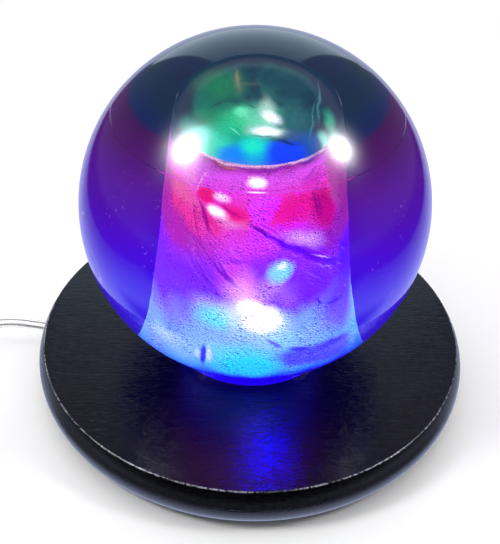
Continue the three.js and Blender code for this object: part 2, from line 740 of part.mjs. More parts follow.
function ringCorners(ring) {
  const tilt = ring.edge * HALF_TURN / 2;
  return coilCorners.map(([along, across]) => {
    const sideways = along * Math.cos(tilt) + across * Math.sin(tilt);
    const upwards = along * Math.sin(tilt) - across * Math.cos(tilt);
    return ring.at.clone().addScaledVector(ring.out, sideways).add(new THREE.Vector3(0, 0, upwards));
  });
}

// The least distance between surface points of the coil that are more than half a turn apart along it
function leastCoilGap(rings) {
  let least = Infinity;
  const skip = COIL_STEPS_PER_TURN / 2;
  const corners = rings.map(ringCorners);
  const middles = corners.map((ring) => ring.map((corner, k) => corner.clone()
    .add(ring[(k + 1) % ring.length]).multiplyScalar(0.5)));
  const points = corners.map((ring, i) => [...ring, ...middles[i]]);
  for (let i = 0; i < points.length; i += 1) {
    for (let j = i + skip; j < points.length; j += 1) {
      if (rings[i].at.distanceTo(rings[j].at) > 2 * CORD_WIDTH) continue;
      points[i].forEach((p) => points[j].forEach((q) => {
        least = Math.min(least, p.distanceTo(q));
      }));
    }
  }
  return least;
}

function coilTie() {
  const inner = coilInnerRadius - CORD_THICKNESS / 2 - 2 * FIT;
  const outer = COIL_RADIUS + CORD_THICKNESS / 2 + FIT;
  const top = coilUpper + CORD_WIDTH / 2 + FIT;
  const band = outline([
    [inner - TIE_THICKNESS, 0],
    [outer + TIE_THICKNESS, 0],
    [outer + TIE_THICKNESS, top + TIE_THICKNESS],
    [inner - TIE_THICKNESS, top + TIE_THICKNESS],
  ]);
  band.holes.push(outline([
    [inner, TIE_THICKNESS],
    [inner, top],
    [outer, top],
    [outer, TIE_THICKNESS],
  ]));
  const strip = extruded(band, TIE_WIDTH).translate(0, 0, -TIE_WIDTH / 2);
  return strip.rotateX(HALF_TURN / 2).rotateZ(-HALF_TURN / 2).translate(coilX, coilY, 0);
}

// Rocker switch, along its own x axis from the lamp's side to the plug's side
const switchStart = new THREE.Vector3(...ROUTE_TO_SWITCH[ROUTE_TO_SWITCH.length - 1]);
const switchSplit = switchStart.z;
const switchMiddleY = switchStart.y - FIT - SWITCH_LENGTH / 2;
const pivotZ = SWITCH_HEIGHT - ROCKER_PIVOT_DEPTH;
const windowLength = 2 * (ROCKER_RADIUS + FIT);
const windowWidth = ROCKER_WIDTH + 2 * FIT;
const pinLength = windowWidth + 2 * ROCKER_CHEEK;

function roundedPlan(length, width, corner) {
  const shape = new THREE.Shape();
  const x = length / 2 - corner;
  const y = width / 2 - corner;
  shape.absarc(x, y, corner, 0, HALF_TURN / 2, false);
  shape.absarc(-x, y, corner, HALF_TURN / 2, HALF_TURN, false);
  shape.absarc(-x, -y, corner, HALF_TURN, 3 * HALF_TURN / 2, false);
  shape.absarc(x, -y, corner, 3 * HALF_TURN / 2, FULL_TURN, false);
  return shape;
}

// A closed body of that plan whose upper edge is drawn in
function drawnBody(length, width, corner, height) {
  const straight = height - SWITCH_EDGE;
  const lower = extruded(roundedPlan(length, width, corner), straight, SWITCH_CORNER_ROWS);
  const plan = roundedPlan(length, width, corner).getPoints(SWITCH_CORNER_ROWS);
  const open = plan.filter((p, i) => i === 0 || p.distanceTo(plan[i - 1]) > WELD);
  if (open[0].distanceTo(open[open.length - 1]) < WELD) open.pop();
  const rows = [[0, straight - SWITCH_EDGE / 2], [0, straight], [SWITCH_EDGE, height]];
  const crown = skinned(rows.map(([drawIn, z]) => open.map((p) => new THREE.Vector3(
    p.x * (1 - 2 * drawIn / length),
    p.y * (1 - 2 * drawIn / width),
    z,
  ))));
  return joined([lower, crown]);
}

function switchHalf(height) {
  const body = drawnBody(SWITCH_LENGTH, SWITCH_WIDTH, SWITCH_CORNER, height);
  const room = drawnBody(SWITCH_LENGTH - 2 * SWITCH_WALL, SWITCH_WIDTH - 2 * SWITCH_WALL,
    SWITCH_CORNER - SWITCH_WALL, height - SWITCH_WALL + OVERRUN).translate(0, 0, -OVERRUN);
  const bosses = [-SWITCH_SCREW_OFFSET, SWITCH_SCREW_OFFSET].map((x) => rod(SWITCH_BOSS_RADIUS,
    height - SWITCH_WALL / 2).translate(x, 0, 0));
  return joined([cut(body, [room]), ...bosses]);
}

const switchHoles = () => [-SWITCH_SCREW_OFFSET, SWITCH_SCREW_OFFSET].map((x) => screwHole(SWITCH_SCREW,
  x, 0, 0));

function switchLower() {
  const half = switchHalf(switchSplit - FIT / 2).rotateX(HALF_TURN).translate(0, 0, switchSplit - FIT / 2);
  return cut(half, switchHoles());
}

function switchUpper() {
  const half = switchHalf(SWITCH_HEIGHT - switchSplit - FIT / 2).translate(0, 0, switchSplit + FIT / 2);
  const cheekBottom = pivotZ - 2 * ROCKER_PIN_RADIUS;
  const cheekHeight = SWITCH_HEIGHT - SWITCH_WALL / 2 - cheekBottom;
  const cheekY = (windowWidth + ROCKER_CHEEK) / 2;
  const cheeks = [-cheekY, cheekY].map((y) => block(ROCKER_CHEEK_REACH, ROCKER_CHEEK, cheekHeight)
    .translate(0, y, cheekBottom));
  const opening = block(windowLength, windowWidth, SWITCH_HEIGHT);
  const holeLength = pinLength + ROCKER_CHEEK;
  const pinHole = rod(ROCKER_PIN_RADIUS + FIT, holeLength).translate(0, 0, -holeLength / 2);
  return cut(joined([half, ...cheeks]), [
    opening,
    pinHole.rotateX(HALF_TURN / 2).translate(0, 0, pivotZ),
    ...switchHoles(),
  ]);
}

function rocker() {
  const lowAngle = Math.asin(ROCKER_DROP / ROCKER_RADIUS);
  const shape = new THREE.Shape();
  shape.moveTo(0, ROCKER_RISE);
  const cornerAngle = ROCKER_CORNER_TURN_SHARE * FULL_TURN;
  shape.absarc(0, 0, ROCKER_RADIUS, HALF_TURN - cornerAngle, HALF_TURN + lowAngle, false);
  shape.absarc(0, 0, ROCKER_RADIUS, -lowAngle, cornerAngle, false);
  shape.closePath();
  const body = extruded(shape, ROCKER_WIDTH, SWITCH_CORNER_ROWS).translate(0, 0, -ROCKER_WIDTH / 2);
  const bore = rod(ROCKER_PIN_RADIUS + FIT, ROCKER_WIDTH + 2 * OVERRUN)
    .translate(0, 0, -ROCKER_WIDTH / 2 - OVERRUN);
  return cut(body, [bore]).rotateX(HALF_TURN / 2);
}

function rockerPin() {
  return rod(ROCKER_PIN_RADIUS, pinLength).translate(0, 0, -pinLength / 2).rotateX(HALF_TURN / 2);
}

function switchContact() {
  const strip = block(CONTACT_LENGTH, CONTACT_WIDTH, CONTACT_THICKNESS);
  const post = block(CONTACT_POST, CONTACT_WIDTH, CONTACT_POST);
  return joined([strip, post.translate(CONTACT_LENGTH / 2 - CONTACT_POST / 2, 0, 0)]);
}

function addSwitch() {
  const unit = new THREE.Group();
  unit.position.set(switchStart.x, switchMiddleY, 0);
  unit.rotation.z = -HALF_TURN / 2;
  lamp.add(unit);
  add('switch_lower_shell', switchLower(), whitePlastic, unit);
  add('switch_upper_shell', switchUpper(), whitePlastic, unit);
  const tilting = add('switch_rocker', rocker(), whitePlastic, unit);
  tilting.position.z = pivotZ;
  tilting.rotation.y = -THREE.MathUtils.degToRad(ROCKER_TILT_DEGREES);
  add('rocker_pin', rockerPin(), steel, unit).position.z = pivotZ;
  add('switch_contact', switchContact(), brass, unit).position.z = SWITCH_WALL + FIT;
  [-SWITCH_SCREW_OFFSET, SWITCH_SCREW_OFFSET].forEach((x, i) => {
    add(`switch_screw_${i + 1}`, screw(SWITCH_SCREW), steel, unit).position.set(x, 0, 0);
  });
}

// Plug, along its own x axis from the cord to the pins
function reliefRing(share, grown) {
  const width = RELIEF_START_WIDTH + (CORD_WIDTH + 2 * RELIEF_END_GROWTH - RELIEF_START_WIDTH) * share;
  const high = RELIEF_START_THICKNESS
    + (CORD_THICKNESS + 2 * RELIEF_END_GROWTH - RELIEF_START_THICKNESS) * share;
  return [width / 2 + grown, high / 2 + grown];
}

function reliefTube() {
  const rows = [[0, 0]];
  for (let i = 0; i < RELIEF_RINGS; i += 1) {
    RELIEF_GROOVE_SHARES.forEach((share, k) => {
      const inGroove = k === 1 || k === 2;
      rows.push([(i + share) / RELIEF_RINGS, inGroove ? -RELIEF_GROOVE : 0]);
    });
  }
  rows.push([1, 0]);
  return skinned(rows.reverse().map(([share, grown]) => {
    const [across, up] = reliefRing(share, grown);
    return onCircle(1, SMALL_SIDES, 0).map(([y, z]) => new THREE.Vector3(
      (RELIEF_LENGTH + RELIEF_ROOT) * (1 - share),
      across * y,
      up * z,
    ));
  }));
}

function plugBody() {
  const waist = RELIEF_LENGTH + PLUG_LENGTH * PLUG_WAIST_SHARE;
  const plan = outline([
    [RELIEF_LENGTH, -PLUG_NECK_WIDTH / 2],
    [waist, -PLUG_WIDTH / 2],
    [RELIEF_LENGTH + PLUG_LENGTH, -PLUG_WIDTH / 2],
    [RELIEF_LENGTH + PLUG_LENGTH, PLUG_WIDTH / 2],
    [waist, PLUG_WIDTH / 2],
    [RELIEF_LENGTH, PLUG_NECK_WIDTH / 2],
  ]);
  const body = extruded(plan, PLUG_THICKNESS).translate(0, 0, -PLUG_THICKNESS / 2);
  const socketX = RELIEF_LENGTH + PLUG_LENGTH - PIN_SOCKET_DEPTH;
  const sockets = [-PIN_SPACING / 2, PIN_SPACING / 2].map((y) => rod(PIN_RADIUS + FIT,
    PIN_SOCKET_DEPTH + OVERRUN).rotateY(HALF_TURN / 2).translate(socketX, y, 0));
  return cut(joined([body, reliefTube()]), sockets);
}

function plugPin() {
  const length = PIN_LENGTH + PIN_SOCKET_DEPTH - FIT;
  return turned([
    [0, 0],
    [PIN_RADIUS, 0],
    [PIN_RADIUS, length - PIN_TIP],
    [PIN_RADIUS - PIN_TIP, length],
    [0, length],
  ], SMALL_SIDES).rotateY(HALF_TURN / 2);
}

function addPlug() {
  const unit = new THREE.Group();
  unit.position.set(coilStart.x, coilY - COIL_LEAD - FIT, plugHeight);
  unit.rotation.z = -HALF_TURN / 2;
  lamp.add(unit);
  add('plug_body', plugBody(), whitePlastic, unit);
  [-PIN_SPACING / 2, PIN_SPACING / 2].forEach((y, i) => {
    add(`plug_pin_${i + 1}`, plugPin(), steel, unit)
      .position.set(RELIEF_LENGTH + PLUG_LENGTH - PIN_SOCKET_DEPTH + FIT, y, 0);
  });
}

// Assembly
add('base_plate', basePlate(), wood);
add('base_cover', baseCover(), fibre);
coverScrewPlaces.forEach(([x, y], i) => {
  add(`cover_screw_${i + 1}`, screw(COVER_SCREW), steel).position.set(x, y, plateBottom);
});
onCircle(coverRadius - PAD_INSET, PAD_COUNT, PAD_FIRST_ANGLE).forEach(([x, y], i) => {
  add(`foot_pad_${i + 1}`, rod(PAD_RADIUS, PAD_HEIGHT), felt).position.set(x, y, 0);
});
add('resin_ball', turned(ballProfile(), BALL_SIDES), resin);
add('seat_ring', seatRing(), silicone);
add('film_sleeve', filmSleeve(), film);
add('film_cap', filmCap(), film);
add('led_board', ledBoard(), whiteBoard);
add('led_post', ledPost(), aluminium);
boardScrewPlaces.forEach(([x, y], i) => {
  add(`board_screw_${i + 1}`, screw(BOARD_SCREW).rotateX(HALF_TURN), steel)
    .position.set(x, y, boardScrewHead);
});
addLeds();
addDriver();
add('terminal_block', terminalBlock(), whitePlastic);
add('cord_clamp', cordClamp(), blackPlastic);
clampScrewPlaces.forEach(([x, y], i) => {
  add(`clamp_screw_${i + 1}`, screw(CLAMP_SCREW), steel).position.set(x, y, clampScrewHead);
});
add('cord_inner', innerCord(), clearCord);
add('mains_lead_1', mainsLead(-1), copper);
add('mains_lead_2', mainsLead(1), copper);
add('led_lead_1', ledLead(-1), redLead);
add('led_lead_2', ledLead(1), blackLead);
add('cord_to_switch', cordTube(ROUTE_TO_SWITCH.map((p) => new THREE.Vector3(...p))), clearCord);
addSwitch();
add('cord_to_coil', cordTube(ROUTE_TO_COIL.map((p) => new THREE.Vector3(...p))), clearCord);
const coil = coilRings();
console.log(`coil: least gap to itself ${leastCoilGap(coil).toFixed(2)} mm`);
add('cord_coil', skinned(coil.map(ringCorners)), clearCord);
add('coil_tie', coilTie(), blackPlastic);
addPlug();

export default lamp;
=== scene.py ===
"""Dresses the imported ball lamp: a tinted resin ball with a lit core on a black stained wooden plate.

Metres, +Z up, +Y away from the front. The origin is on the table, under the middle of the plate.
"""

from __future__ import annotations

import logging
import math
from dataclasses import dataclass
from enum import Enum
from typing import Any, Iterable, Sequence

import bmesh
import bpy
from mathutils import Matrix, Vector, noise

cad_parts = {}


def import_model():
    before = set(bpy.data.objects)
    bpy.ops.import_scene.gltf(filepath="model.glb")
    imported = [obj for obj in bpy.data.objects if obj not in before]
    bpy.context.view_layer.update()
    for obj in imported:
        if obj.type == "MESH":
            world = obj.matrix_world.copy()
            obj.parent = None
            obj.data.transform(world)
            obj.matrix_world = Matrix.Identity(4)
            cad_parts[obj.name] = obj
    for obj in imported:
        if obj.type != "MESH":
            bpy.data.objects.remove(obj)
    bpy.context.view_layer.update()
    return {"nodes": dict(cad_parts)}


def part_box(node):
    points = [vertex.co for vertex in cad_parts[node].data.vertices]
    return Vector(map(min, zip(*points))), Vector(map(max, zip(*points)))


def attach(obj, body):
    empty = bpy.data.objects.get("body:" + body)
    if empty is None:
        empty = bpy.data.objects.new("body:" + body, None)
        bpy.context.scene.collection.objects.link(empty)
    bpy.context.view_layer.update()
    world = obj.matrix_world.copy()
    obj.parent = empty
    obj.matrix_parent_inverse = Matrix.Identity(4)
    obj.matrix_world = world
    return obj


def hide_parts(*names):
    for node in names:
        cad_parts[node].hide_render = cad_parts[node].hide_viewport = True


LOG = logging.getLogger("ball_lamp")

Colour = tuple[float, float, float, float]
Point = tuple[float, float, float]
Pair = tuple[float, float]
Rows = Sequence[tuple[float, float, float, float]]
Rings = Sequence[tuple[Vector, Vector]]
Shape = bmesh.types.BMesh

MM = 0.001
FULL_TURN = 2 * math.pi
LAMP_BODY = "lamp"
CORE_RADIUS = 26.025 * MM
CORE_TOP = 130.958 * MM
WHITE = (1.0, 1.0, 1.0, 1.0)
DULL_BLACK = {"Base_Color": (0.0, 0.0, 0.0, 1.0), "Roughness": 1.0, "Specular_IOR_Level": 0.0}


class Slot(Enum):
    """The record's material slots for new pieces. Nothing in this script gives a piece a slot."""

    WOOD = "stained_wood"
    RESIN = "tinted_resin"
    FILM = "crumpled_film"
    CORD = "clear_cord"
    COPPER = "copper_wire"


def shade(red: float, green: float, blue: float) -> Colour:
    """Turns a screen colour into the linear one that shaders use.

    Args:
        red: Red from 0 to 255.
        green: Green from 0 to 255.
        blue: Blue from 0 to 255.

    Returns:
        The linear colour, with alpha 1.
    """
    linear = [((c / 255 + 0.055) / 1.055) ** 2.4 if c > 10 else c / 255 / 12.92 for c in (red, green, blue)]
    return (*linear, 1.0)


def dimmed(colour: Colour, share: float, lift: float = 0.0) -> Colour:
    """Multiplies a colour by a share and then adds the lift to it."""
    return (*(lift + share * c for c in colour[:3]), 1.0)


class Value:
    """A number or a colour in a shader. Sums on it add Math nodes."""

    def __init__(self, shader: Shader, socket: bpy.types.NodeSocket) -> None:
        """Wraps a node's output socket."""
        self.shader = shader
        self.socket = socket

    def maths(self, operation: str, *terms: Value | float) -> Value:
        """Adds a Math node for an operation on the given terms."""
        return self.shader.node("ShaderNodeMath", {"operation": operation}, dict(enumerate(terms)))

    def __add__(self, other: Value | float) -> Value:
        """Returns self + other."""
        return self.maths("ADD", self, other)

    def __sub__(self, other: Value | float) -> Value:
        """Returns self - other."""
        return self.maths("SUBTRACT", self, other)

    def __rsub__(self, other: float) -> Value:
        """Returns other - self."""
        return self.maths("SUBTRACT", other, self)

    def __mul__(self, other: Value | float) -> Value:
        """Returns self * other."""
        return self.maths("MULTIPLY", self, other)

    __radd__ = __add__

    def between(self, low: float, high: float, start: float = 0.0, end: float = 1.0) -> Value:
        """Runs smoothly from start to end while this value runs from low to high.

        Args:
            low: The value at which the result leaves start.
            high: The value at which the result reaches end.
            start: The result at and under low.
            end: The result at and over high.

        Returns:
            The mapped value.
        """
        return self.shader.node(
            "ShaderNodeMapRange",
            {"interpolation_type": "SMOOTHSTEP"},
            {"Value": self, "From Min": low, "From Max": high, "To Min": start, "To Max": end},
        )

    def as_place(self) -> Place:
        """Reads the same socket as a place."""
        return Place(self.shader, self.socket)


class Place(Value):
    """A place in a shader. Sums on it add Vector Math nodes."""

    def vectors(self, operation: str, *terms: Any) -> Place:
        """Adds a Vector Math node for an operation on the given terms."""
        made = self.shader.node("ShaderNodeVectorMath", {"operation": operation}, dict(enumerate(terms)))
        return made.as_place()

    def __add__(self, other: Place | Point) -> Place:
        """Returns self + other."""
        return self.vectors("ADD", self, other)

    def __sub__(self, other: Place | Point) -> Place:
        """Returns self - other."""
        return self.vectors("SUBTRACT", self, other)

    def __mul__(self, other: Place | Point) -> Place:
        """Returns the product by axes."""
        return self.vectors("MULTIPLY", self, other)

    def scaled(self, factor: Value) -> Place:
        """Returns the place times a number."""
        made = self.shader.node("ShaderNodeVectorMath", {"operation": "SCALE"}, {0: self, "Scale": factor})
        return made.as_place()

    def length(self) -> Value:
        """Returns how far the place is from zero."""
        return self.shader.node("ShaderNodeVectorMath", {"operation": "LENGTH"}, {0: self}, 1)

    def from_axis(self) -> Value:
        """Returns how far the place is from the Z axis."""
        return (self * (1.0, 1.0, 0.0)).length()

    def axis(self, index: int) -> Value:
        """Returns one coordinate."""
        return self.shader.node("ShaderNodeSeparateXYZ", {}, {0: self}, index)

    def turn(self) -> Value:
        """Returns the turn round Z in degrees, 0 at +X."""
        return self.axis(1).maths("ARCTAN2", self.axis(1), self.axis(0)) * math.degrees(1.0)


class Shader:
    """The node tree of a material or a world."""

    def __init__(self, owner: bpy.types.Material | bpy.types.World) -> None:
        """Empties the owner's node tree."""
        owner.use_nodes = True
        in_world = isinstance(owner, bpy.types.World)
        self.output = "ShaderNodeOutputWorld" if in_world else "ShaderNodeOutputMaterial"
        self.tree = owner.node_tree
        self.tree.nodes.clear()

    def node(
        self,
        kind: str,
        settings: dict[str, Any] | None = None,
        inputs: dict[str | int, Any] | None = None,
        output: str | int = 0,
    ) -> Value:
        """Adds any node.

        Args:
            kind: The node's type.
            settings: Its properties.
            inputs: Values or links by socket.
            output: The socket that is returned.

        Returns:
            The wrapped output socket.
        """
        made = self.tree.nodes.new(kind)
        for key, value in (settings or {}).items():
            setattr(made, key, value)
        for key, value in (inputs or {}).items():
            if isinstance(value, Value):
                self.tree.links.new(value.socket, made.inputs[key])
            else:
                made.inputs[key].default_value = value
        return Value(self, made.outputs[output]) if made.outputs else Value(self, None)

    def place(self) -> Place:
        """Returns the point's place in the row frame."""
        return self.node("ShaderNodeTexCoord", output="Object").as_place()

    def ray(self, sort: str) -> Value:
        """Returns 1 for rays of a sort and 0 for others."""
        return self.node("ShaderNodeLightPath", output=f"Is {sort} Ray")

    def noise(self, place: Place, size: float | Point, detail: float = 3.0, roughness: float = 0.5) -> Value:
        """Adds a noise pattern.

        Args:
            place: Where the pattern is read.
            size: The size of its features, in metres, or one size for each axis.
            detail: How many finer layers it has.
            roughness: How strong the finer layers are.

        Returns:
            The noise, from 0 to 1.
        """
        sizes = size if isinstance(size, tuple) else (size, size, size)
        scaled = place * tuple(1 / s for s in sizes)
        inputs = {"Vector": scaled, "Scale": 1.0, "Detail": detail, "Roughness": roughness}
        return self.node("ShaderNodeTexNoise", {}, inputs)

    def warped(self, place: Place, size: float, reach: float) -> Place:
        """Shifts a place by noise, so that what is drawn on it gets uneven edges.

        Args:
            place: The place.
            size: The size of the noise's features, in metres.
            reach: How far a point may move to either side, in metres.

        Returns:
            The shifted place.
        """
        inputs = {"Vector": place, "Scale": 1 / size, "Detail": 2.0}
        centred = self.node("ShaderNodeTexNoise", {}, inputs, "Color").as_place() - (0.5, 0.5, 0.5)
        return place + centred * (2 * reach, 2 * reach, 2 * reach)

    def twisted(self, place: Place, lean: float) -> Place:
        """Turns a place round Z by its height, so that a pattern that is long in Z leans on the sleeve.

        Args:
            place: The place.
            lean: How far the pattern runs round the core for each metre that it falls.

        Returns:
            The turned place.
        """
        angle = place.axis(2) * (lean / CORE_RADIUS)
        inputs = {"Vector": place, "Angle": angle}
        return self.node("ShaderNodeVectorRotate", {"rotation_type": "Z_AXIS"}, inputs).as_place()

    def ramp(self, value: Value, stops: Iterable[tuple[float, Colour]]) -> Value:
        """Turns a value from 0 to 1 into a colour by the stops' places and colours."""
        made = self.node("ShaderNodeValToRGB", {}, {0: value})
        elements = made.socket.node.color_ramp.elements
        for i, (place, colour) in enumerate(stops):
            element = elements[i] if i < len(elements) else elements.new(1.0)
            element.position = place
            element.color = colour
        return made

    def mix(self, share: Value | float, first: Value | Colour, second: Value | Colour) -> Value:
        """Mixes two colours: share 0 gives the first."""
        return self.node("ShaderNodeMix", {"data_type": "RGBA"}, {0: share, 6: first, 7: second}, 2)

    def blend(self, share: Value, first: Value, second: Value) -> Value:
        """Mixes two surfaces: share 0 gives the first."""
        return self.node("ShaderNodeMixShader", {}, {0: share, 1: first, 2: second})

    def bump(self, height: Value, depth: float) -> Value:
        """Returns the normal of a relief that is depth metres deep."""
        return self.node("ShaderNodeBump", {}, {"Height": height, "Strength": 1.0, "Distance": depth})

    def surface(self, **inputs: Any) -> Value:
        """Adds a Principled shader, with words of its sockets' names joined by _."""
        named = {key.replace("_", " "): value for key, value in inputs.items()}
        return self.node("ShaderNodeBsdfPrincipled", {}, named)

    def glow(self, colour: Value | Colour) -> Value:
        """Adds a dull black surface that gives off light of its own."""
        return self.surface(Emission_Color=colour, Emission_Strength=1.0, **DULL_BLACK)

    def finish(self, surface: Value | None = None, **inputs: Any) -> None:
        """Links the surface, or a new Principled shader with the inputs, to the output."""
        self.node(self.output, {}, {"Surface": surface or self.surface(**inputs)})


@dataclass(frozen=True)
class Finish:
    """A finish that makes its material once."""

    name: str

    def paint(self, shader: Shader) -> None:
        """Builds the node tree."""
        raise NotImplementedError

    def material(self) -> bpy.types.Material:
        """Returns the finish's material, made at its first use."""
        made = bpy.data.materials.get(self.name)
        if made is None:
            made = bpy.data.materials.new(self.name)
            self.paint(Shader(made))
        return made


@dataclass(frozen=True)
class Moulded(Finish):
    """Moulded or painted stuff with a fine texture and a slightly uneven gloss."""

    colour: Colour
    gloss: float = 0.4
    grain: float = 0.5 * MM
    relief: float = 0.02 * MM
    mottle: float = 14 * MM
    darkest: float = 0.82

    def paint(self, shader: Shader) -> None:
        """Mottles the colour and the gloss, and adds the texture as a relief."""
        place = shader.place()
        cloud = shader.noise(place, self.mottle)
        shader.finish(
            Base_Color=shader.mix(cloud, self.colour, dimmed(self.colour, self.darkest)),
            Roughness=cloud.between(0.2, 0.8, self.gloss - 0.06, self.gloss + 0.06),
            Normal=shader.bump(shader.noise(place, self.grain, 2.0), self.relief),
        )


@dataclass(frozen=True)
class Metal(Finish):
    """Turned or drawn metal with fine lines round its length."""

    colour: Colour
    gloss: float = 0.3
    line: Point = (3 * MM, 3 * MM, 0.15 * MM)
    spot: float = 2 * MM
    dullest: float = 0.7
    relief: float = 0.01 * MM

    def paint(self, shader: Shader) -> None:
        """Varies the roughness in fine lines and dulls some spots."""
        place = shader.place()
        lines = shader.noise(place, self.line, 2.0)
        spots = shader.noise(place, self.spot).between(0.45, 0.75)
        shader.finish(
            Base_Color=shader.mix(spots, self.colour, dimmed(self.colour, self.dullest)),
            Metallic=1.0,
            Roughness=lines.between(0.2, 0.8, self.gloss - 0.1, self.gloss + 0.12),
            Normal=shader.bump(lines, self.relief),
        )


@dataclass(frozen=True)
class BlackWood(Finish):
    """Wood under black stain and semi-gloss lacquer, with its grain along X and a painted highlight on the
    upper arris.
    """

    arris_radius: float = 96.9 * MM
    arris_height: float = 22 * MM
    arris_highlight_in: Pair = (0.35 * MM, 0.1 * MM)
    arris_highlight_down: Pair = (0.6 * MM, 0.2 * MM)
    waver: Pair = (24 * MM, 1.2 * MM)
    fibre: Point = (22 * MM, 0.8 * MM, 0.8 * MM)
    pore: Point = (6 * MM, 0.4 * MM, 0.4 * MM)
    cloud: Point = (60 * MM, 12 * MM, 12 * MM)
    relief: float = 0.1 * MM

    def paint(self, shader: Shader) -> None:
        """Lays fine grain lines along X and paints a highlight along the arris, broken in places."""
        at_place = shader.place()
        place = shader.warped(at_place, *self.waver)
        fibres = shader.noise(place, self.fibre, 4.0, 0.65)
        pores = shader.noise(place, self.pore, 2.0)
        # Painted highlight: a pale line along the upper arris, broken in places by noise.
        at_edge = at_place.from_axis().between(*(self.arris_radius - reach for reach in self.arris_highlight_in))
        near_top = at_place.axis(2).between(*(self.arris_height - reach for reach in self.arris_highlight_down))
        arris_highlight_breaks = shader.noise(at_place, 9 * MM, 1.0).between(0.35, 0.6, 0.25, 1.0)
        arris_highlight_breaks = arris_highlight_breaks * shader.noise(at_place, 1.1 * MM).between(0.4, 0.55)
        stain = shader.mix(fibres.between(0.45, 0.7), shade(2, 2, 4), shade(15, 14, 17))
        relief = fibres * 0.7 + pores.between(0.35, 0.6) * 0.3
        shader.finish(
            Base_Color=shader.mix(at_edge * near_top * arris_highlight_breaks, stain, shade(176, 176, 186)),
            Roughness=shader.noise(place, self.cloud).between(0.3, 0.7, 0.06, 0.1) + fibres * 0.05,
            Normal=shader.bump(relief, self.relief),
        )


@dataclass(frozen=True)
class TintedResin(Finish):
    """Cast resin, clear to look into and dark to look through, that the lights in it fill with colour.

    Its outer face has a painted glow, violet up to the height that the sleeve's light reaches, and slate blue
    above it. The far side, seen through the resin, is dull black with a painted glow that is bluer the lower
    it is, and the tint is bluer low down, as painted light from the blue lights. A fine line shows where one
    pour ended, and a few small pale flecks float in the resin, painted as glowing specks in the outer glow.
    The rows hold heights in millimetres and colours.
    """

    low: float = 22
    high: float = 172
    drift: float = 3 * MM
    seam: float = 140.6 * MM
    seam_half: float = 0.22 * MM
    blue_lit_up: Pair = (42 * MM, 57 * MM)
    flecked_up: Pair = (140 * MM, 125 * MM)
    fleck: float = 1.3 * MM
    fleck_group: float = 13 * MM
    fleck_glow_colour: Colour = (0.34, 0.1, 0.4, 1.0)
    blue_lit_tint: Colour = (0.2, 0.12, 1.0, 1.0)
    tint: Colour = (0.86, 0.86, 0.94, 1.0)
    outer_painted_glow: Rows = (
        (24, 0.01, 0.0, 0.32), (60, 0.01, 0.0, 0.32), (90, 0.02, 0.003, 0.38), (112, 0.04, 0.002, 0.31),
        (131, 0.056, 0.003, 0.18), (141, 0.05, 0.002, 0.09), (148, 0.04, 0.0, 0.06),
        (149.4, 0.001, 0.01, 0.075), (152, 0.0, 0.014, 0.07), (156, 0.0, 0.017, 0.04),
        (168, 0.0, 0.014, 0.03),
    )
    far_side_painted_glow: Rows = (
        (24, 0.01, 0.0, 0.6), (42, 0.02, 0.002, 0.5), (45, 0.03, 0.002, 0.45), (51, 0.035, 0.002, 0.24),
        (56, 0.04, 0.003, 0.14), (62, 0.02, 0.002, 0.04), (66, 0.002, 0.003, 0.008),
        (90, 0.02, 0.003, 0.05), (140, 0.02, 0.004, 0.03),
    )

    def glow(self, shader: Shader, place: Place, rows: Rows) -> Value:
        """Returns the glow at a place.

        Args:
            shader: The shader that gets the nodes.
            place: The place, in the row frame.
            rows: Heights in millimetres, each with its linear red, green and blue.

        Returns:
            The colour.
        """
        span = self.high - self.low
        drift = (shader.noise(place, 45 * MM) - 0.5) * self.drift
        level = (place.axis(2) + drift - self.low * MM) * (1 / (span * MM))
        return shader.ramp(level, [((row[0] - self.low) / span, (*row[1:], 1.0)) for row in rows])

    def paint(self, shader: Shader) -> None:
        """Tints what is seen through the resin, bluer low down as painted light, and paints a glow by height
        on both sides of its face.
        """
        place = shader.place()
        height = place.axis(2)
        # Pale flecks in the resin, painted as glowing specks in the outer glow.
        groups = shader.noise(place, self.fleck_group).between(0.5, 0.64, 0.0, 0.5)
        flecks = shader.noise(place, self.fleck, 0.0).between(0.71, 0.78) * groups
        flecks = flecks * height.between(*self.flecked_up)
        seam = height.between(self.seam - self.seam_half, self.seam + self.seam_half)
        # The tint is bluer low down, as painted light from the blue lights, and the outer side has a painted
        # glow by height.
        face = shader.surface(
            Base_Color=shader.mix(height.between(*self.blue_lit_up), self.blue_lit_tint, self.tint),
            Roughness=0.0,
            IOR=1.5,
            Transmission_Weight=1.0,
            Coat_Weight=0.3,
            Coat_Roughness=0.16,
            Emission_Color=shader.mix(flecks, self.glow(shader, place, self.outer_painted_glow), self.fleck_glow_colour),
            Emission_Strength=1.0,
            Normal=shader.bump(seam, 0.15 * MM),
        )
        # The far side is a dull black surface with a painted glow, bluer the lower it is.
        far_side = shader.glow(self.glow(shader, place, self.far_side_painted_glow))
        inside = shader.node("ShaderNodeNewGeometry", output="Backfacing")
        shader.finish(shader.blend(inside, face, far_side))


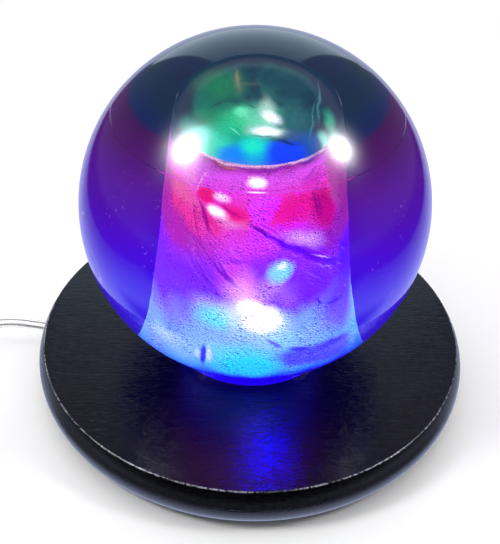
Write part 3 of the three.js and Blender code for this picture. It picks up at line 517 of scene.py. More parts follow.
@dataclass(frozen=True)
class Patch:
    """A soft-edged spot, streak or crease on the lit film, in millimetres and degrees.

    A patch on the sleeve has its turn round the axis, -90 at the front, and its height. One on the cap has
    its x and y. Its colour is a screen colour, or a linear one with alpha where it is brighter than white.
    """

    across: float
    up: float
    width: float
    rise: float
    colour: Point | Colour
    tilt: float = 0.0
    firm: float = 0.3
    amount: float = 1.0

    def light(self) -> Colour:
        """Returns its linear colour."""
        return shade(*self.colour) if len(self.colour) == 3 else self.colour

    def span(self, drift: float) -> Pair:
        """Returns its lowest and its highest reach in metres, with the drift added."""
        lean = abs(math.radians(self.tilt))
        reach = (self.width * math.sin(lean) + self.rise * math.cos(lean)) * MM + drift
        return self.up * MM - reach, self.up * MM + reach

    def mask(self, shader: Shader, place: Place, on_cap: bool) -> Value:
        """Tells how much of the patch there is at a place.

        Args:
            shader: The shader that gets the nodes.
            place: The place, in the row frame.
            on_cap: Whether the patch lies on the cap rather than on the sleeve.

        Returns:
            The amount inside the firm share of the patch, falling to 0 at its edge.
        """
        if on_cap:
            centre = (self.across * MM, self.up * MM, CORE_TOP)
            turn = (0.0, 0.0, math.radians(self.tilt))
            scale = (self.width * MM, self.rise * MM, CORE_RADIUS)
        else:
            angle = math.radians(self.across)
            centre = (CORE_RADIUS * math.cos(angle), CORE_RADIUS * math.sin(angle), self.up * MM)
            turn = (0.0, -math.radians(self.tilt), angle + math.pi / 2)
            scale = (self.width * MM, 0.6 * CORE_RADIUS, self.rise * MM)
        inputs = {"Vector": place, "Location": centre, "Rotation": turn, "Scale": scale}
        own = shader.node("ShaderNodeMapping", {"vector_type": "TEXTURE"}, inputs).as_place()
        return own.length().between(self.firm, 1.0, self.amount, 0.0)


def patch_table(*rows: Sequence[Any]) -> tuple[Patch, ...]:
    """Makes patches from rows of their fields."""
    return tuple(Patch(*row) for row in rows)


def streak(start: Pair, end: Pair, rise: float, colour: Point, amount: float = 1.0) -> Patch:
    """Makes a long thin patch on the sleeve between two points.

    Args:
        start: Its left end, as turn in degrees and height in millimetres.
        end: Its right end.
        rise: Half its thickness in millimetres.
        colour: Its screen colour.
        amount: How strong it is.

    Returns:
        The patch.
    """
    run = math.radians(end[0] - start[0]) * CORE_RADIUS / MM
    climb = end[1] - start[1]
    return Patch(
        across=(start[0] + end[0]) / 2,
        up=(start[1] + end[1]) / 2,
        width=math.hypot(run, climb) / 2,
        rise=rise,
        colour=colour,
        tilt=math.degrees(math.atan2(climb, run)),
        amount=amount,
    )


PLUM = (95, 0, 190)
NIGHT = (40, 35, 215)
WHITE_HOT = (2.4, 2.2, 2.6, 1.0)
BLUE_HOT = (2.6, 2.3, 16.0, 1.0)

# Rows of patches: across, up, half width, half height, colour, tilt, firm share and amount.
SLEEVE_ZONES = patch_table(
    (-150, 108, 14, 7, (250, 105, 160), 0, 0.2, 0.9), (-150, 101.5, 12, 5, (250, 64, 128), 0, 0.2, 0.9),
    (-148, 94, 24, 9.5, (180, 42, 155), 0, 0.2, 0.9), (-133, 100, 8, 7, (255, 62, 134), 0, 0.1, 0.95),
    (-142, 117, 7, 8, (240, 140, 205), 0, 0.2, 0.7), (-84.5, 111.5, 8, 9, (246, 66, 236), 0, 0.2),
    (-100, 97, 17, 9, (244, 68, 218), 0, 0, 0.8), (-108, 104.5, 9, 4.5, (255, 160, 214), 0, 0, 0.8),
    (-121, 102, 9, 8, (255, 72, 158), 0, 0, 0.9), (-46, 119, 9, 4, (205, 40, 188), 0, 0, 0.8),
    (-24, 93, 14, 12, (140, 32, 172), 0, 0.1, 0.85), (-104, 87, 8, 13, (222, 72, 248), 0, 0.15, 0.95),
    (-95, 82.5, 7, 8, (252, 130, 250), 0, 0.1, 0.9), (-77, 82, 7, 6, (216, 150, 252), 0, 0.1, 0.85),
    (-64, 78, 7, 6, (180, 112, 252), 0, 0.1, 0.8), (-60, 110, 14, 10, (248, 20, 146)),
    (-36, 105, 7, 12, (206, 2, 108), 24, 0.4), (-125, 112.5, 4.6, 4, (250, 14, 104), 18, 0.45),
    (-103, 107.5, 7, 4.2, (250, 22, 112), -28, 0.2), (-120, 103, 3.5, 7, (240, 24, 110), 30, 0.1, 0.8),
    (-45, 79, 12, 8, (118, 34, 252), 0, 0.3, 0.9), (-45, 90, 9, 4, (126, 12, 238), -30, 0.3, 0.9),
    (-2, 112, 13.5, 30, (176, 78, 158), 21, 0.78, 0.9), (-6, 96, 9, 9, (146, 30, 170), 21, 0.3, 0.9),
    (-2, 80, 13, 14, (82, 12, 250), 21, 0.5, 0.95), (-176, 108, 10, 24, (140, 44, 150), 0, 0.3, 0.7),
    (-4, 106, 11, 24, (150, 34, 140), 0, 0.4, 0.85), (-174, 126.5, 12, 8.5, (20, 58, 82), 0, 0.7),
    (-6, 127, 11, 8.5, (20, 58, 82), 0, 0.7), (-118, 72.5, 10, 6, (186, 168, 255), 0, 0.1, 0.9),
    (-112, 69.4, 11, 6, (110, 252, 255), 0, 0.2, 0.95), (-97, 68, 6, 5, (215, 250, 255), 0, 0.1, 0.8),
    (-70, 63, 10, 5, (150, 235, 255), 0, 0.1, 0.8), (-50, 68, 8, 4.5, (124, 180, 255), 0, 0.2, 0.8),
    (-20, 69, 14, 12, (104, 58, 254), 0, 0.3, 0.95), (-116, 58, 12, 7, (152, 216, 252), 0, 0, 0.8),
    (-88, 64, 14, 5, (176, 228, 252), 0, 0, 0.8), (-42, 55.5, 21, 5, (88, 84, 252), 0, 0.5, 0.95),
    (-96, 56, 15, 7.5, (96, 240, 252), 0, 0.3, 0.95), (-92, 52.5, 14, 6.4, (40, 242, 244), 0, 0.4),
    (-137, 55.5, 9, 4.4, (150, 212, 252), 0, 0.3, 0.9), (-155, 58, 12, 3, (190, 232, 255), 0, 0.1, 0.8),
)

# Rows of streaks: left end, right end, half thickness, colour and amount.
STREAK_ROWS = (
    ((-125, 124.3), (-134, 110.4), 0.5, (255, 195, 228), 0.6),
    ((-134, 112), (-117, 97), 1.3, (140, 0, 96), 0.85), ((-139, 111), (-127, 92), 0.9, (160, 10, 100), 0.6),
    ((-119, 112), (-95, 105.3), 0.9, (190, 0, 110), 0.7), ((-97, 106), (-74, 98.4), 1.2, (120, 0, 150)),
    ((-82, 101.5), (-58, 91.8), 1.6, PLUM), ((-68, 96.2), (-47, 88.6), 1.9, PLUM),
    ((-57, 92), (-36, 85.2), 1.7, (90, 0, 215)), ((-45, 88), (-18, 80.6), 1.6, (80, 5, 235), 0.9),
    ((-88, 102.9), (-66, 96.2), 0.5, PLUM, 0.9), ((-62, 95.2), (-40, 89.4), 0.5, (110, 20, 200), 0.8),
    ((-50, 90.9), (-30, 85.1), 0.4, (235, 190, 255), 0.8),
    ((-46, 87), (-27, 80.4), 0.3, (205, 160, 255), 0.5),
    ((-111, 91.6), (-92, 90.4), 1.3, (140, 10, 205), 0.6),
    ((-124, 92), (-94, 78.2), 0.9, (112, 0, 170), 0.9),
    ((-118, 92.4), (-99, 80.5), 0.8, (120, 0, 178), 0.85),
    ((-132, 89.5), (-117, 78.5), 0.7, (110, 0, 190), 0.75),
    ((-47.5, 116), (-41.5, 101), 1.1, (140, 0, 110), 0.8),
    ((-43.5, 113), (-38.5, 100.5), 0.55, (120, 0, 110), 0.7),
    ((-101, 116.3), (-57, 119.3), 0.8, (200, 30, 205), 0.6),
    ((-59, 119), (-41, 122.6), 0.8, (170, 20, 200), 0.7),
    ((-131, 126.6), (-100, 125.2), 1.1, (130, 10, 96), 0.9),
    ((-104, 125), (-60, 126), 0.9, (150, 30, 190), 0.85),
    ((-62, 125.6), (-38, 127.6), 1.2, (95, 10, 170), 0.9),
    ((-81, 64.2), (-66, 59.6), 0.9, (80, 60, 220), 0.8),
    ((-67, 59.9), (-46, 57.4), 1.3, (60, 50, 230), 0.9), ((-48, 57.6), (-5, 56.9), 1.4, NIGHT, 0.9),
    ((-46, 75), (-38, 70.8), 0.8, (60, 10, 200), 0.9), ((-39, 71.4), (-16, 69.4), 0.7, (60, 10, 235), 0.8),
)

SLEEVE_SPOTS = patch_table(
    (-111, 125.9, 6, 0.8, (205, 120, 95), -4, 0.3, 0.7), (-122.2, 55.3, 1.4, 5.2, NIGHT, -4, 0.4, 0.95),
    (-118, 56, 1.5, 4.2, (235, 252, 255), 0, 0.2, 0.95), (-126.5, 56, 1.5, 3, (215, 250, 255), 0, 0.1, 0.8),
    (-78.2, 81.9, 0.9, 0.7, (120, 0, 120)), (-113.5, 112.9, 4, 2.6, (1.5, 1.0, 1.5, 1.0), 0, 0, 0.85),
    (-116.2, 107.2, 5.4, 2.8, (2.0, 1.3, 1.8, 1.0), -18, 0, 0.95),
    (-117.6, 107.4, 3.6, 1.5, WHITE_HOT, -16, 0.1), (-89.4, 121, 4.6, 3.4, WHITE_HOT, 0, 0),
    (-71.5, 86.6, 5.2, 5.4, (136, 240, 250), -20), (-70.6, 88.6, 2, 2, (1.4, 1.6, 1.7, 1.0), 0, 0, 0.9),
    (-93, 77, 11, 8, (1.2, 0.62, 1.2, 1.0), -30, 0, 0.9),
    (-98, 72.5, 10, 6, (0.9, 1.1, 1.3, 1.0), 0, 0, 0.85), (-76, 69, 8.5, 7, (200, 248, 255), 0, 0.2, 0.9),
    (-90.5, 74, 5.6, 4.4, BLUE_HOT, -12, 0.2), (-83.5, 70.4, 7.6, 6.4, BLUE_HOT, 0, 0.25),
)

SLEEVE_MARKS = (
    *patch_table((-53.3, 96.7, 12, 4.4, (244, 186, 246), -27, 0, 0.75)),
    *(streak(*row) for row in STREAK_ROWS),
    *SLEEVE_SPOTS,
)
FOLDED_PARTS = patch_table((-116, 90, 15, 16, PLUM), (-66, 97, 17, 7, PLUM, -33), (-32, 86, 13, 12, PLUM))

CAP_PATCHES = patch_table(
    (-12, 9, 11, 12, (24, 124, 70), -25, 0.1, 0.95), (8, 12, 14, 9, (16, 66, 70), 0, 0, 0.8),
    (-14.5, -6, 9, 13, (0, 136, 84), 0, 0.1, 0.95), (-16, -17, 12, 9, (40, 228, 190), -38, 0.1),
    (-8.5, -12, 11, 9, (0, 200, 142), 0, 0.1, 0.95), (-5, -6, 10, 10, (52, 216, 142), 0, 0, 0.95),
    (-5, -3, 3.6, 4.2, (110, 252, 196), 30, 0.1), (11, -7, 9, 11, (40, 106, 104), -10, 0, 0.9),
    (12, -14, 8, 5, (62, 92, 152), -10, 0, 0.8), (1, -8, 9, 13, (116, 228, 186), 4, 0.1),
    (2.6, -2, 3.6, 10, (200, 244, 226), 4, 0, 0.85), (2.4, -12, 9, 5, (215, 250, 240), 0, 0, 0.9),
    (6.4, -8.8, 3.4, 1, (40, 118, 112), -36, 0.3, 0.7), (-13.5, -20, 10, 8, (24, 222, 176), -30, 0.2),
    (3.5, -24.5, 18, 9.4, (0, 96, 250), 0, 0.5), (-1.2, -20, 8.5, 9, (8, 246, 206), -10, 0.1),
    (-8.5, -24, 8, 5.6, (0, 142, 252), -20, 0.1), (10.5, -22, 10, 7.5, (0, 58, 255), 10, 0.4),
    (1.5, -14.8, 5, 0.7, (0, 84, 110), -2, 0.3, 0.6), (10, -17.2, 5.2, 0.9, (0, 24, 92), -28, 0.3, 0.9),
    (17, -16, 6, 8, (16, 84, 170), 12, 0.1, 0.9), (-21.5, -11, 5.5, 9, (20, 150, 126), 24, 0.1, 0.9),
    (-19, -14.5, 5, 6, (110, 240, 214), 24, 0.3, 0.9), (22.8, -5.5, 2.6, 9, (26, 166, 126), 12, 0.1, 0.95),
    (21.5, -13.5, 2.8, 5, (120, 220, 200), 24, 0.1, 0.9),
    (-12.6, 0.6, 3.6, 0.9, (16, 78, 66), 34, 0.3, 0.8), (-7, 2.2, 4.4, 0.8, (16, 78, 66), -4, 0.3, 0.8),
    (-2.4, 0.4, 2.6, 0.6, (16, 78, 66), -44, 0.3, 0.7),
    (-7.6, -13, 4, 0.35, (140, 255, 220), -48, 0.3, 0.7),
    (-6.6, -12.2, 4, 0.3, (0, 150, 110), -48, 0.3, 0.7), (18.9, 3, 0.6, 13, (84, 156, 156), 3, 0.3, 0.5),
    (17.4, -5, 0.5, 14, (90, 160, 160), -3, 0.3, 0.4), (18, -2, 0.5, 14, (10, 44, 60), 0, 0.3, 0.6),
    (4.3, -5.4, 5.6, 3, WHITE_HOT, -48, 0, 0.6), (2.6, -12, 6.6, 3, WHITE_HOT, -3, 0, 0.6),
    (-6.7, 11.5, 2.2, 8, (110, 120, 88), 4, 0, 0.6), (-6.7, 12, 0.9, 6, (150, 146, 104), 4, 0, 0.6),
    (-3.5, 10.5, 5, 1.2, (96, 104, 84), 2, 0.3, 0.4),
)


class FilmPart(Enum):
    """The parts of the film, by the heights that they span in metres."""

    FOOT = (0.0, 88 * MM)
    SHOULDER = (88 * MM, CORE_TOP)
    CAP = (CORE_TOP, CORE_TOP)


@dataclass(frozen=True)
class LitFilm(Finish):
    """Crumpled film, lit from behind by coloured lights, that shows as bands, spots, folds and specks.

    Each waver holds the size of the noise that shifts the drawing, and its reach. Each strength is that of
    the painted light and shade on the crumples and of the specks. The bands hold heights in millimetres and
    screen colours.
    """

    part: FilmPart = FilmPart.SHOULDER
    drift: float = 4 * MM
    wide_waver: Pair = (9 * MM, 1.6 * MM)
    waver: Pair = (2.2 * MM, 0.45 * MM)
    fine_waver: Pair = (0.8 * MM, 0.4 * MM)
    cap_strength: Pair = (1.0, 0.12)
    sleeve_strength: Pair = (4.4, 0.85)
    grain: Point = (0.8 * MM, 0.8 * MM, 0.42 * MM)
    grain_step: Point = (0.14 * MM, 0.0, 0.18 * MM)
    speck: Point = (0.7 * MM, 0.7 * MM, 0.42 * MM)
    behind: Pair = (4 * MM, 14 * MM)
    column_turns: tuple[float, float, float, float] = (-95.0, -76.0, -58.0, -52.0)
    column_foot: Pair = (84 * MM, 92 * MM)
    column_top: Pair = (116 * MM, 106 * MM)
    column_blue: float = 180.0
    full_top: Pair = (104 * MM, 98 * MM)
    full_blue: float = 2.0
    bands_low: float = 22
    bands_span: float = 110
    bands: Rows = (
        (45.5, 10, 5, 235), (48, 44, 130, 250), (51, 96, 200, 255), (54, 110, 204, 255),
        (60, 140, 192, 255), (65, 135, 190, 255), (70, 130, 130, 255), (74, 125, 60, 252),
        (84, 128, 42, 246), (92, 165, 45, 222), (100, 222, 45, 190), (108, 250, 48, 160),
        (115, 248, 60, 225), (123, 230, 80, 246), (126.4, 150, 40, 150), (127.3, 250, 190, 240),
        (128.6, 40, 110, 120),
    )

    @property
    def on_cap(self) -> bool:
        """Whether this is the cap rather than the sleeve."""
        return self.part is FilmPart.CAP

    def near(self, patches: Sequence[Patch]) -> list[Patch]:
        """Returns those of the patches that reach this part."""
        if self.on_cap:
            return list(patches)
        low, high = self.part.value
        return [p for p in patches if low < p.span(self.drift)[1] and p.span(self.drift)[0] < high]

    def laid(self, shader: Shader, place: Place, light: Value, patches: Sequence[Patch]) -> Value:
        """Lays patches over the light."""
        for patch in self.near(patches):
            light = shader.mix(patch.mask(shader, place, self.on_cap), light, patch.light())
        return light

    def paint(self, shader: Shader) -> None:
        """Paints the bands, lays the patches over them, and adds painted light and shade on the crumples'
        sides, and specks.
        """
        place = shader.place()
        drifting = shader.warped(shader.warped(place, *self.wide_waver), *self.waver)
        if self.on_cap:
            light = self.laid(shader, drifting, self._cap_ground(shader, drifting), CAP_PATCHES)
            rough, speckled = self.cap_strength
        else:
            drifting = shader.warped(drifting, *self.fine_waver)
            light = self.laid(shader, drifting, self._bands(shader, drifting), SLEEVE_ZONES)
            light = self._folded(shader, place, self._back_lit(shader, drifting, light))
            light = self.laid(shader, drifting, light, SLEEVE_MARKS)
            rough, speckled = self.sleeve_strength
        # Painted light and shade on the crumples: one side of each is brightened and the other darkened.
        crumple_shading = shader.noise(place, self.grain, 3.0, 0.65)
        crumple_shading = crumple_shading - shader.noise(place + self.grain_step, self.grain, 3.0, 0.65)
        specks = shader.noise(place, self.speck, 1.0).between(0.58, 0.68)
        where = shader.noise(drifting, 8 * MM).between(0.36, 0.6, 0.3, 1.0)
        bright = light.as_place().scaled((1.0 + crumple_shading * where * rough) * (1.0 - specks * where * speckled))
        if not self.on_cap:
            bright = self._deep_blue(shader, place, bright)
        shader.finish(
            Base_Color=(0.02, 0.02, 0.02, 1.0),
            Roughness=0.5,
            Emission_Color=bright,
            Emission_Strength=1.0,
            Normal=shader.bump(shader.noise(place, 1.3 * MM), 0.1 * MM),
        )

    def _back_lit(self, shader: Shader, place: Place, light: Value) -> Value:
        """Lays soft clouds and a few hot spots on the half that the photograph doesn't show."""
        behind = place.axis(1).between(*self.behind)
        cloud = shader.noise(place, (9 * MM, 9 * MM, 6 * MM), 2.0)
        light = shader.mix(behind * cloud.between(0.56, 0.66, 0.0, 0.8), light, shade(120, 0, 190))
        light = shader.mix(behind * cloud.between(0.42, 0.32, 0.0, 0.7), light, shade(255, 120, 250))
        spots = shader.noise(place, (12 * MM, 12 * MM, 9 * MM), 0.0)
        return shader.mix(behind * spots.between(0.66, 0.82), light, WHITE_HOT)

    def _folded(self, shader: Shader, place: Place, light: Value) -> Value:
        """Darkens the light along fine folds that lean down to the right, and paints pale highlights between
        them.
        """
        leaning = shader.twisted(shader.warped(place, 12 * MM, 1.5 * MM), 1.1)
        fold = shader.noise(leaning, (0.9 * MM, 0.9 * MM, 24 * MM), 1.0)
        share = place.axis(1).between(*self.behind, 0.0, 0.6)
        for part in FOLDED_PARTS:
            share = share + part.mask(shader, place, on_cap=False)
        dark = fold.between(0.54, 0.72) * share.between(0.0, 0.7, 0.1, 0.6)
        # Painted highlights: pale pinkish white streaks between the folds.
        fold_highlight = fold.between(0.42, 0.26) * share.between(0.0, 0.7, 0.0, 0.14)
        light = shader.mix(dark, light, light.as_place() * (0.5, 0.2, 0.82))
        return shader.mix(fold_highlight, light, shade(255, 190, 255))

    def _deep_blue(self, shader: Shader, place: Place, bright: Place) -> Place:
        """Adds the blue that an eye can't tell from full blue, and that the plate's gloss shows."""
        turn = place.turn()
        height = place.axis(2)
        column = turn.between(*self.column_turns[:2]) * turn.between(*self.column_turns[2:], 1.0, 0.0)
        column = column * height.between(*self.column_foot) * height.between(*self.column_top)
        column = column * bright.axis(2).between(0.5, 0.9) * self.column_blue
        full = bright.axis(2).between(0.86, 1.0) * height.between(*self.full_top) * self.full_blue
        return bright + shader.node("ShaderNodeCombineXYZ", {}, {2: column + full}).as_place()

    def _bands(self, shader: Shader, place: Place) -> Value:
        """Colours the sleeve by height: blue at the foot, then cyan, violet, red and magenta."""
        height = place.axis(2)
        lean = place.axis(0) * -0.12 + (shader.noise(place, 16 * MM) - 0.5) * (14 * MM)
        lean = lean * height.between(128 * MM, 118 * MM)
        level = (height + lean - self.bands_low * MM) * (1 / (self.bands_span * MM))
        stops = [((row[0] - self.bands_low) / self.bands_span, shade(*row[1:])) for row in self.bands]
        return shader.ramp(level, stops)

    @staticmethod
    def _cap_ground(shader: Shader, place: Place) -> Value:
        """Colours the cap: teal in its middle and dark slate towards its rim."""
        swirl = shader.noise(shader.warped(place, 14 * MM, 9 * MM), (5 * MM, 12 * MM, 9 * MM))
        stops = ((0.3, shade(8, 42, 54)), (0.5, shade(16, 64, 70)), (0.7, shade(36, 100, 90)))
        middle = shader.ramp(swirl, stops)
        from_axis = place.from_axis()
        rim = shader.mix(from_axis.between(17.8 * MM, 19.4 * MM, 0.0, 0.3), middle, shade(44, 92, 100))
        return shader.mix(from_axis.between(19.0 * MM, 21.4 * MM), rim, shade(0, 22, 46))


@dataclass(frozen=True)
class ClearVinyl(Finish):
    """Clear flexible insulation."""

    def paint(self, shader: Shader) -> None:
        """Makes clear plastic with a faintly uneven face."""
        place = shader.place()
        shader.finish(
            Base_Color=(0.985, 0.985, 0.985, 1.0),
            Roughness=shader.noise(place, 4 * MM).between(0.3, 0.7, 0.04, 0.16),
            IOR=1.45,
            Transmission_Weight=1.0,
            Normal=shader.bump(shader.noise(place, 6 * MM), 0.05 * MM),
        )


@dataclass(frozen=True)
class StrandedWire(Finish):
    """Fine tinned wires laid in a helix, read from the piece's strand attributes."""

    strands: float = 7.0

    def paint(self, shader: Shader) -> None:
        """Draws the strands from the helix's phase, with painted shade in the grooves between them."""
        sine, cosine = (
            shader.node("ShaderNodeAttribute", {"attribute_name": name}, output="Fac")
            for name in ("strand_sine", "strand_cosine")
        )
        phase = sine.maths("ARCTAN2", sine, cosine) * self.strands
        ridges = phase.maths("SINE", phase) * 0.5 + 0.5
        # Painted shade: darker grey in the grooves between strands, paler on their crowns.
        shader.finish(
            Base_Color=shader.mix(ridges, shade(120, 120, 124), shade(206, 207, 210)),
            Metallic=0.55,
            Roughness=0.4,
            Normal=shader.bump(ridges, 0.08 * MM),
        )


@dataclass(frozen=True)
class GlowingChip(Finish):
    """A light-emitting chip under a clear drop."""

    colour: Colour

    def paint(self, shader: Shader) -> None:
        """Brightens the chip in uneven spots."""
        spots = shader.noise(shader.place(), 1 * MM).between(0.3, 0.7)
        colour = shader.mix(spots, self.colour, dimmed(self.colour, 0.5, lift=0.5))
        shader.finish(Base_Color=colour, Roughness=0.3, Emission_Color=colour, Emission_Strength=2.0)


@dataclass(frozen=True)
class ClearSilicone(Finish):
    """Clear soft silicone, slightly milky."""

    def paint(self, shader: Shader) -> None:
        """Clouds its gloss."""
        gloss = shader.noise(shader.place(), 5 * MM).between(0.2, 0.8, 0.2, 0.4)
        shader.finish(Base_Color=shade(225, 228, 235), Roughness=gloss, IOR=1.41, Transmission_Weight=0.9)


@dataclass(frozen=True)
class WhiteFloor(Finish):
    """A white floor that keeps the lamp's soft shadow, and that mirrors show as a glowing sheet of paper with
    painted light and shade.
    """

    shown_white: float = 1.07
    shadow_ends: Pair = (0.24, 0.45)
    paper_half: float = 0.258
    paper_fade: float = 0.03
    paper_spread: float = 0.12
    paper_front: Pair = (-180 * MM, -120 * MM)
    paper_paling: Pair = (0.1, 0.29)
    paling_spread: float = 0.35
    lane: Pair = (-30 * MM, 10 * MM)
    shadow_reach: Pair = (0.12, 0.16)
    shadow_behind: Pair = (-60 * MM, -20 * MM)
    light_reach: Pair = (0.106, 0.113)
    dusk_reach: Pair = (0.5, 1.0)
    screen_spread: float = 0.4
    paper: Colour = (0.12, 0.14, 0.18, 1.0)
    paper_lit: Colour = (0.56, 0.62, 0.84, 1.0)
    plate_shadow: Colour = (0.08, 0.09, 0.12, 1.0)
    plate_light: Colour = (0.6, 0.68, 1.0, 1.0)
    dusk_near: Colour = (0.02, 0.02, 0.025, 1.0)
    dusk_far: Colour = (0.12, 0.12, 0.15, 1.0)

    def mirrored(self, shader: Shader, place: Place) -> Value:
        """Returns what mirrors show of the floor: a glow with painted light and shade.

        Args:
            shader: The shader that gets the nodes.
            place: The place on the floor.

        Returns:
            The colour of the paper, which dims towards its sides as painted light, with a painted shadow in
            front of the plate and a painted bluish light at its foot, and of the dusk beyond it.
        """
        away = place.length()
        side = place.axis(0).maths("ABSOLUTE", place.axis(0))
        behind = place.axis(1).maths("MAXIMUM", place.axis(1), 0.0)
        beyond = side - behind * self.paper_spread
        beyond = beyond.between(self.paper_half, self.paper_half + self.paper_fade)
        beyond = beyond.maths("MAXIMUM", beyond, place.axis(1).between(*self.paper_front, 1.0, 0.0))
        lane = (place.axis(1) * self.screen_spread - side).between(*self.lane)
        # Painted light: the paper dims towards its sides.
        painted_dimming = (side - behind * self.paling_spread).between(*self.paper_paling)
        paper = shader.mix(painted_dimming, self.paper_lit, self.paper)
        # Painted shadow on the paper close to the plate, in front of it.
        plate_shadow_share = away.between(*self.shadow_reach)
        plate_shadow_share = plate_shadow_share.maths("MAXIMUM", plate_shadow_share, place.axis(1).between(*self.shadow_behind))
        paper = shader.mix(plate_shadow_share, self.plate_shadow, paper)
        # Painted bluish light on the paper at the plate's foot.
        paper = shader.mix(away.between(*self.light_reach), self.plate_light, paper)
        dusk = shader.mix(away.between(*self.dusk_reach), self.dusk_near, self.dusk_far)
        return shader.mix(beyond * (1.0 - lane), paper, dusk)

    def paint(self, shader: Shader) -> None:
        """Keeps apart what the camera, mirrors and other pieces get from the floor."""
        place = shader.place()
        plain = {"Roughness": 0.9, "Specular_IOR_Level": 0.1}
        lit = shader.surface(Base_Color=(0.8, 0.8, 0.8, 1.0), **plain)
        near = shader.surface(Base_Color=dimmed(WHITE, self.shown_white), **plain)
        mirrored = shader.blend(shader.ray("Glossy"), lit, shader.glow(self.mirrored(shader, place)))
        seen = shader.blend(place.length().between(*self.shadow_ends), near, shader.glow(WHITE))
        camera = shader.ray("Camera")
        direct = camera.maths("MAXIMUM", camera, shader.ray("Transmission"))
        shader.finish(shader.blend(direct, mirrored, seen))


@dataclass(frozen=True)
class LampHalo(Finish):
    """A clear disc that glows in mirrors, most in its middle."""

    fade: float
    middle: float = 150.0
    most: float = 22.0

    def paint(self, shader: Shader) -> None:
        """Lets the glow fall off from the middle."""
        fading = shader.place().length() * (-1 / self.fade)
        level = fading.maths("EXPONENT", fading) * self.middle
        level = level.maths("MINIMUM", level, self.most)
        glow = shader.node("ShaderNodeEmission", {}, {"Color": level, "Strength": 1.0})
        clear = shader.node("ShaderNodeBsdfTransparent")
        shader.finish(shader.node("ShaderNodeAddShader", {}, {0: glow, 1: clear}))


def placed(name: str, data: bpy.types.ID) -> bpy.types.Object:
    """Puts new data into the scene."""
    made = bpy.data.objects.new(name, data)
    bpy.context.scene.collection.objects.link(made)
    return made


def meshed(name: str, shape: Shape) -> bpy.types.Object:
    """Turns a shape, which is freed, into an object in the scene."""
    mesh = bpy.data.meshes.new(name)
    shape.to_mesh(mesh)
    shape.free()
    return placed(name, mesh)


def disc(name: str, radius: float, corners: int, finish: Finish) -> bpy.types.Object:
    """Makes a flat disc at the origin.

    Args:
        name: Its name.
        radius: Its radius.
        corners: How many corners its edge has.
        finish: Its finish.

    Returns:
        The disc.
    """
    shape = bmesh.new()
    bmesh.ops.create_circle(shape, cap_ends=True, radius=radius, segments=corners)
    made = meshed(name, shape)
    made.data.materials.append(finish.material())
    return made


